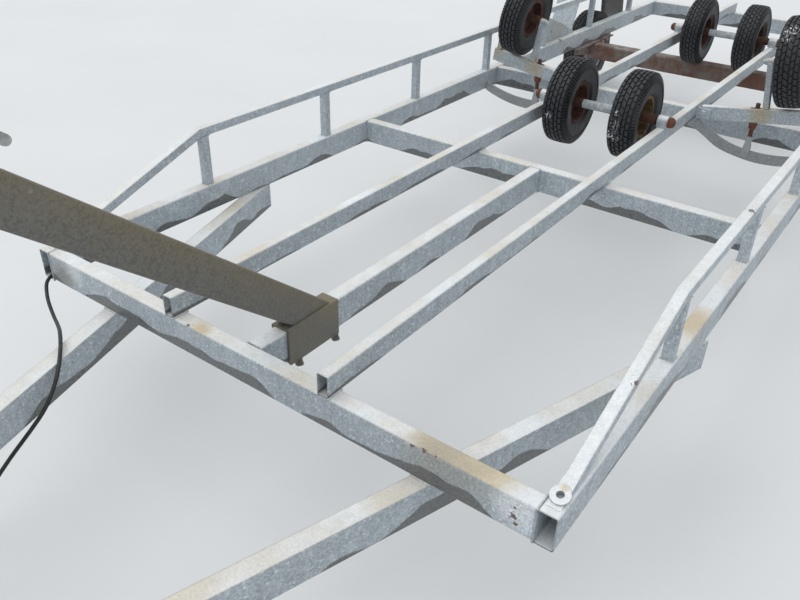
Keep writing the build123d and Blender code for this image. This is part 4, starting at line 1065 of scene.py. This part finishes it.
class TRAILER_OT_welds(bpy.types.Operator):
    """Lay weld beads where the tubes meet"""

    bl_idname = "trailer.welds"
    bl_label = "Welds"

    def execute(self, context):
        runs = []
        for start, end, radius in left_seams():
            run = bead_run(start, end, radius)
            runs += [run, moved(run, mirror(-1))]
        zinc = hot_dip_zinc("Galvanised weld beads")
        welds = settle(joined(runs), "weld_beads", zinc, "frame", smooth=60.0)
        return {"FINISHED"}


# Wheel fittings

# Place along the axle and radius, round the outside of the pressed disc and back along its flat inside
ROAD_DISH = (
    (0.0232, 0.0458), (0.0268, 0.0475), (0.0275, 0.0720), (0.0360, 0.0840), (0.0410, 0.1020),
    (0.0410, 0.1180), (0.0380, 0.1290), (0.0354, 0.1340), (0.0310, 0.1440), (0.0284, 0.1490),
    (0.0265, 0.1560), (0.0245, 0.1715), (0.0232, 0.1715),
)
DISH_STEPS = 80
DISH_OUTSIDE = 0.0265
HAND_HOLE_PITCH = 8
HAND_HOLE_RADIUS = 0.139
HAND_HOLE_HALF = 0.010
SMALL_BOLT_CIRCLE = 0.062
SMALL_DISC_FACE = 0.0025
SMALL_VALVE = ((0.0, SMALL_DISC_FACE, 0.084), (0.0, 1.0, 0.0))
ROAD_VALVE = ((0.0, 0.030, 0.160), (0.0, 0.9, 0.15))
ROAD_NUT_CIRCLE = 0.0585
ROAD_NUT_FACE = 0.0275
CAP_RADIUS = 0.031
CAP_LENGTH = 0.010
CAP_MIDDLE = 0.0551
# Thickness and rise of each step of the dome
CAP_DOME = ((0.003, 0.004), (0.007, 0.004), (0.009, 0.0015))


def valve_pattern():
    """Pattern of a tyre valve with its cap, standing on the origin along +Z."""
    stem = begin("cylinder", vertices=12, radius=0.0038, depth=0.024, location=(0.0, 0.0, 0.012))
    pick(stem, lambda centre, normal: normal.z > 0.9)
    bpy.ops.transform.resize(value=(0.75, 0.75, 1.0))
    extrude(0.0, 0.0, 0.001, size=(1.4, 1.4, 1.0))
    extrude(0.0, 0.0, 0.008)
    inset((0.001, 0.0))
    bpy.ops.transform.translate(value=(0.0, 0.0, 0.001))
    leave()
    return stem


def ring_of(pattern, count, radius, along, first, way=1):
    """Copies of a pattern round the Y axis, so far along it, pointing along it one way or the other."""
    copies = []
    for n in range(count):
        turn = math.radians(first + n * 360.0 / count)
        place = (radius * math.cos(turn), along, radius * math.sin(turn))
        copies.append(moved(pattern, towards(place, (0, way, 0))))
    return copies


def hand_hole_place(place):
    """Place in the nearest hand hole: from -1 to 1 along it and from -1 to 1 across it."""
    column = round_axle(place, DISH_STEPS) % HAND_HOLE_PITCH
    if column > HAND_HOLE_PITCH - 0.5:
        column -= HAND_HOLE_PITCH
    return (column - 2) / 2, (from_axle(place) - HAND_HOLE_RADIUS) / HAND_HOLE_HALF


def in_hand_hole(centre, normal):
    """Whether a face on the outside of the dish is in one of its ten hand holes."""
    along, across = hand_hole_place(centre)
    return abs(along) < 1 and abs(across) < 1 and centre.y > DISH_OUTSIDE


def road_dish():
    """Pattern of a road wheel's pressed disc with its oval hand holes, whose pocket bottoms get a point
    attribute of 1 for their painted shade.
    """
    dish = spun(ROAD_DISH, DISH_STEPS)
    for vertex in dish.data.vertices:
        along, across = hand_hole_place(vertex.co)
        if max(abs(along), abs(across)) < 1.02 and vertex.co.y > DISH_OUTSIDE:
            turn = math.pi * 4 / DISH_STEPS * along * (math.sqrt(1 - across * across / 2) - 1)
            out = HAND_HOLE_RADIUS + HAND_HOLE_HALF * across * math.sqrt(1 - along * along / 2)
            size = out / from_axle(vertex.co)
            place = Matrix.Rotation(-turn, 4, "Y") @ vertex.co
            vertex.co = (place.x * size, place.y, place.z * size)
    # This attribute marks the pocket bottoms that are painted near black as shade.
    dish.data.attributes.new("hole_shade", "FLOAT", "POINT")
    pick(dish, in_hand_hole)
    inset((0.0012, 0.0), (0.0008, -0.0060))
    mark_selected(dish, "hole_shade")
    leave()
    return dish


def dust_cap():
    """Pattern of a road wheel's domed dust cap."""
    cap = begin("cylinder", vertices=40, radius=CAP_RADIUS, depth=CAP_LENGTH, location=(0.0, CAP_MIDDLE, 0.0),
                rotation=(-math.pi / 2, 0.0, 0.0))
    pick(cap, lambda centre, normal: normal.y > 0.9)
    for thickness, rise in CAP_DOME:
        inset((thickness, 0.0))
        bpy.ops.transform.translate(value=(0.0, rise, 0.0))
    leave()
    return cap


def fit(wheel, matrix, *fittings):
    """Copy fittings on to a wheel, each as its pattern, name, material and slot. The slot is not used."""
    for pattern, name, material, slot in fittings:
        piece = copied(pattern, f"{wheel}_{name}", matrix, f"{wheel}_wheel", material)
        settle(piece, piece.name, material, None, smooth=30.0)


class TRAILER_OT_wheel_fittings(bpy.types.Operator):
    """Add the road wheels' pressed dishes, nuts and dust caps, the small wheels' bolts and all valves"""

    bl_idname = "trailer.wheel_fittings"
    bl_label = "Wheel fittings"

    def execute(self, context):
        bolt = hex_bolt(0.015, 0.007)
        nut = hex_bolt(0.017, 0.014)
        valve = valve_pattern()
        dish = road_dish()
        cap = dust_cap()
        paint = silver_paint("Silver wheel dish")
        plated = bright_zinc("Plated wheel nuts")
        black = moulded_plastic("Black valve rubber", "#1c1d1f", 0.6)
        rusty = rusted_steel("Rusted rim bolts", "#6f4a38", colours().dark_rust)
        nuts = joined([*ring_of(nut, 5, ROAD_NUT_CIRCLE, ROAD_NUT_FACE, 18.0), cap])
        road_valve = moved(valve, towards(*ROAD_VALVE))
        for side, sign in SIDES:
            place = middle_of(f"road_{side}_tyre") @ mirror(sign)
            fit(f"road_{side}", place, (dish, "dish", paint, "wheel_steel"),
                (nuts, "nuts_and_cap", plated, "zinc"), (road_valve, "valve", black, "rubber"))
        bolts = joined([
            *ring_of(bolt, 4, SMALL_BOLT_CIRCLE, SMALL_DISC_FACE, 30.0),
            *ring_of(bolt, 4, SMALL_BOLT_CIRCLE, -SMALL_DISC_FACE, 30.0, -1),
        ])
        small_valve = moved(valve, towards(*SMALL_VALVE))
        for name, side, _ in SMALL_WHEELS:
            place = middle_of(f"{name}_tyre") @ slope(side) @ mirror(-1 if name.endswith("right") else 1)
            fit(name, place, (bolts, "rim_bolts", rusty, "rusty_steel"),
                (small_valve, "valve", black, "rubber"))
        discard(bolt, nut, valve, dish, nuts, road_valve, bolts, small_valve)
        return {"FINISHED"}


# Rear lamps, jockey wheel and winch strap

LAMP_FACE = -4.356
LAMP_MIDDLE = (0.890, 0.52)
LAMP_PARTS = (
    # Name, depth, width, height, distance behind the beam, shift outwards, colour of its lens
    ("housing", 0.032, 0.230, 0.100, 0.000, 0.000, None),
    ("red_lens", 0.016, 0.136, 0.084, 0.0310, -0.040, "#9c1a12"),
    ("amber_lens", 0.016, 0.070, 0.084, 0.0310, 0.071, "#d9761a"),
)
# Places along the axle and radii: half of each closed profile
JOCKEY_TYRE = (
    (0.0060, 0.1000), (0.0165, 0.0982), (0.0225, 0.0920),
    (0.0248, 0.0820), (0.0250, 0.0720), (0.0235, 0.0665),
)
JOCKEY_RIM = (
    (0.0240, 0.0664), (0.0235, 0.0600), (0.0045, 0.0540),
    (0.0060, 0.0230), (0.0250, 0.0190), (0.0250, 0.0084),
)
JOCKEY_STEPS = 48
DRUM_MIDDLE = (2.656, 0.0, 1.542)
STRAP_RADIUS = 0.036
STRAP_WIDTH = 0.052


class TRAILER_OT_rear_lamps(bpy.types.Operator):
    """Model the rear lamps: a moulded housing with a red and an amber lens"""

    bl_idname = "trailer.rear_lamps"
    bl_label = "Rear lamps"

    def execute(self, context):
        black = moulded_plastic("Lamp housing plastic", "#232427")
        for side, sign in SIDES:
            for part, deep, wide, high, behind, shift, code in LAMP_PARTS:
                middle = (LAMP_FACE - behind - deep / 2, sign * (LAMP_MIDDLE[0] + shift), LAMP_MIDDLE[1])
                piece = begin("cube", size=1.0)
                edit()
                bpy.ops.transform.resize(value=(deep, wide, high))
                bpy.ops.mesh.bevel(offset=0.006, segments=3)
                pick(piece, lambda centre, normal: normal.x < -0.95)
                inset((0.004, 0.0), (0.0015, 0.0008 if code else -0.0015))
                lens = f"{part.split('_')[0].capitalize()} lens {side}"
                material = lamp_lens(lens, code) if code else black
                settle(piece, f"rear_lamp_{side}_{part}", material, "frame", 35.0, Matrix.Translation(middle))
                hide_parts("rear_lamps")
        return {"FINISHED"}


def jockey_ring(half):
    """A ring of the jockey wheel from half of its profile."""
    return spun([*((-y, r) for y, r in reversed(half)), *half], JOCKEY_STEPS)


class TRAILER_OT_jockey_wheel(bpy.types.Operator):
    """Model the jockey wheel: a solid rubber tyre on a plated rim with pockets"""

    bl_idname = "trailer.jockey_wheel"
    bl_label = "Jockey wheel"

    def execute(self, context):
        place = middle_of("jack_wheel")
        tyre = jockey_ring(JOCKEY_TYRE)
        pick(tyre, lambda centre, normal: abs(centre.y) < 0.002 and from_axle(centre) > 0.09)
        inset((0.0012, 0.0), (0.0008, -0.0015))
        rubber = moulded_plastic("Jockey wheel rubber", "#212225", 0.75)
        settle(tyre, "jockey_tyre", rubber, "jack_wheel", 45.0, place)
        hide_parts("jack_wheel")

        def in_pocket(centre, normal):
            on_disc = 0.03 < from_axle(centre) < 0.05 and abs(centre.y) < 0.01
            return on_disc and round(round_axle(centre, JOCKEY_STEPS) - 0.5) % 8 < 5

        rim = jockey_ring(JOCKEY_RIM)
        pick(rim, in_pocket)
        inset((0.002, 0.0), (0.001, -0.002))
        settle(rim, "jockey_rim", bright_zinc("Plated jockey rim", "#a7aaab"), "jack_wheel", 35.0, place)
        return {"FINISHED"}


class TRAILER_OT_winch_strap(bpy.types.Operator):
    """Wind the woven strap on the winch's drum"""

    bl_idname = "trailer.winch_strap"
    bl_label = "Winch strap"

    def execute(self, context):
        turn = (math.pi / 2, 0.0, 0.0)
        strap = begin("cylinder", vertices=48, radius=STRAP_RADIUS, depth=STRAP_WIDTH, rotation=turn)
        pick(strap, lambda centre, normal: abs(normal.y) > 0.9)
        inset(*((0.0022, 0.0), (0.0006, -0.0008), (0.0004, 0.0008)) * 4, each=True)
        pick(strap, lambda centre, normal: abs(normal.y) < 0.1)
        inset((0.0025, 0.0), (0.0005, -0.0008))
        webbing = woven_strap("Woven winch strap", "#5a6068")
        settle(strap, "winch_strap", webbing, "frame", 35.0, Matrix.Translation(DRUM_MIDDLE))
        return {"FINISHED"}


# Finishes of the CAD nodes

DAMP_HEIGHT = 0.052
BEAM_RUST = (
    ((1.984, 0.666, 0.572), 0.006),
    ((1.984, 0.706, 0.574), 0.008),
    ((1.984, 0.745, 0.577), 0.005),
    ((1.984, 0.991, 0.545), 0.006),
    ((1.984, 0.989, 0.512), 0.013),
    ((1.984, 0.997, 0.490), 0.008),
    ((1.979, -0.255, 0.580), 0.009),
)
BEAM_STAINS = (
    *(((1.950, y, 0.58), 0.10) for y in (0.720, 0.790, 0.860, 0.925)),
    ((1.974, -0.202, 0.58), 0.05),
    ((1.984, -0.923, 0.515), 0.035),
)
BEAM_TINTS = (
    ((1.984, 1.005, 0.545), 0.10, "#e3e8ec", 0.7),
    ((1.984, 0.760, 0.515), 0.17, "#8f8e87", 0.55),
    ((1.984, -0.985, 0.490), 0.10, "#7d776b", 0.6),
    ((1.984, -0.880, 0.550), 0.07, "#dfe3e6", 0.5),
)
YELLOW_RIM_HUB = ((SLEEVES[0], 0.0, 0.690), 0.034)


def both_sides(*spots):
    """Spots on the left side with their mirror images on the right."""
    return spots + tuple(((x, -y, z), *rest) for (x, y, z), *rest in spots)


class TRAILER_OT_finishes(bpy.types.Operator):
    """Give every CAD node its finish"""

    bl_idname = "trailer.finishes"
    bl_label = "Finishes"

    def execute(self, context):
        look = colours()
        beam = hot_dip_zinc("Galvanised front beam", FRAME_LOW, DAMP_HEIGHT, 0.55, BEAM_RUST, BEAM_STAINS,
                            tints=BEAM_TINTS)
        dress(beam, "front_crossbeam")
        tubes = hot_dip_zinc("Galvanised main tubes", FRAME_LOW, DAMP_HEIGHT,
                             stains=(((0.896, 1.062, 0.58), 0.14),), black=(((-2.351, -1.058, 0.58), 0.02),))
        dress(tubes, "second_crossbeam", "third_crossbeam", "rear_crossbeam", "side_rails", "centre_rail")
        dress(hot_dip_zinc("Galvanised keel rails", FRAME_TOP, 0.022, 0.6), "keel_rails", "keel_sleeves")
        drawbar = hot_dip_zinc("Galvanised drawbar", FRAME_LOW - BEAM_HEIGHT, 0.058, 0.6)
        dress(drawbar, "drawbar_arms", "drawbar_nose")
        guards = hot_dip_zinc("Galvanised guard rails", dirt=0.25, rust=(((1.533, 1.098, 0.72), 0.012),),
                              stains=(((1.9, 1.08, 0.60), 0.02),), black=(((0.485, 1.087, 0.848), 0.016),),
                              edge_radius=0.0015)
        dress(guards, "guard_rails", "guard_lugs")
        stays = hot_dip_zinc("Galvanised stay plates", dirt=0.7, rust=(((-2.252, -1.094, 0.651), 0.013),),
                             stains=both_sides(((-2.35, 1.1, 0.63), 0.2)))
        dress(stays, "stay_plates")
        arm_stains = both_sides(((-1.263, 0.70, 0.67), 0.09), ((-1.263, 0.98, 0.74), 0.08))
        arms = hot_dip_zinc("Galvanised support arms", dirt=0.75, stains=arm_stains, smear=0.75)
        dress(arms, "support_arm_left", "support_arm_right")
        fittings = hot_dip_zinc("Galvanised fittings", dirt=0.4)
        dress(fittings, "support_brackets", "jack_tube", "jack_clamp", "jack_fork")
        plate_tints = both_sides(((-1.263, 0.70, 0.47), 0.62, "#75726d", 0.6))
        dress(hot_dip_zinc("Damp curved plates", dirt=0.4, tints=plate_tints), "support_plates")
        # The dark grey-brown patch over the rear of the mudguard is painted shade with some dirt: that panel
        # is seen from inside, in shadow.
        sheet_shade_tints = both_sides(((-3.80, 1.2, 0.75), 0.55, "#68635b", 0.85))
        dress(hot_dip_zinc("Dirty mudguard sheet with painted shade", dirt=0.4, tints=sheet_shade_tints), "mudguards")
        dress(bright_zinc("Bright plated tube"), "jack_inner_tube", "winch", "bow_stop")
        dress(keel_axle_finish("Rusted keel axles"), "keel_axles")
        dress(screw_finish("Adjusting screws"), "support_screws")
        nuts = rusted_steel("Rusted nuts", look.rust, look.dark_rust, 0.7)
        dress(nuts, "support_nut_left", "support_nut_right")
        small_rims = [name for name in nodes if name.endswith("_rim") and not name.startswith("road")]
        dress(rusted_steel("Rusted rims", "#5d3c2e", "#3a2922", 0.6), *small_rims)
        yellow = rusted_steel("Yellow rusted rim", "#7d6a3f", "#4d3829", hub=YELLOW_RIM_HUB)
        dress(yellow, "keel_front_left_rim")
        dress(silver_paint("Silver wheel paint"), "road_left_rim", "road_right_rim")
        dress(rusted_tube("Rusted axle tube"), "axle_tube", "axle_mounts", "trailing_arms")
        dress(old_coating("Olive post coating", "#505251", "#6b5f47"), "winch_post")
        dress(old_coating("Brown saddle coating", "#6b6250", "#7b6e55"), "post_clamp")
        dress(cast_zinc("Plated coupling casting"), "coupling_head", "ball_socket")
        dress(moulded_plastic("Black roller rubber", "#1d1e20", 0.7), "bow_roller")
        return {"FINISHED"}


class TRAILER_PT_panel(bpy.types.Panel):
    """Sidebar panel with every step in order"""

    bl_label = "Boat trailer"
    bl_idname = "TRAILER_PT_panel"
    bl_space_type = "VIEW_3D"
    bl_region_type = "UI"
    bl_category = "Trailer"

    def draw(self, context):
        layout = self.layout
        for settings in (context.scene.trailer_sizes, context.scene.trailer_colours):
            box = layout.box()
            for name in settings.__annotations__:
                box.prop(settings, name)
        for step in STEPS:
            layout.operator(step.bl_idname)


STEPS = (
    TRAILER_OT_stage,
    TRAILER_OT_cable,
    TRAILER_OT_finishes,
    TRAILER_OT_small_tyres,
    TRAILER_OT_road_tyres,
    TRAILER_OT_bolts,
    TRAILER_OT_welds,
    TRAILER_OT_wheel_fittings,
    TRAILER_OT_rear_lamps,
    TRAILER_OT_jockey_wheel,
    TRAILER_OT_winch_strap,
)
CLASSES = (TrailerColours, TrailerSizes, *STEPS, TRAILER_PT_panel)


def register():
    """Register the settings, the steps and the panel."""
    for cls in CLASSES:
        bpy.utils.register_class(cls)
    bpy.types.Scene.trailer_colours = PointerProperty(type=TrailerColours)
    bpy.types.Scene.trailer_sizes = PointerProperty(type=TrailerSizes)


def unregister():
    """Take them away again."""
    del bpy.types.Scene.trailer_sizes
    del bpy.types.Scene.trailer_colours
    for cls in reversed(CLASSES):
        bpy.utils.unregister_class(cls)


def main():
    """Run every step in order."""
    register()
    for step in STEPS:
        group, name = step.bl_idname.split(".")
        getattr(getattr(bpy.ops, group), name)()


if __name__ == "__main__":
    main()
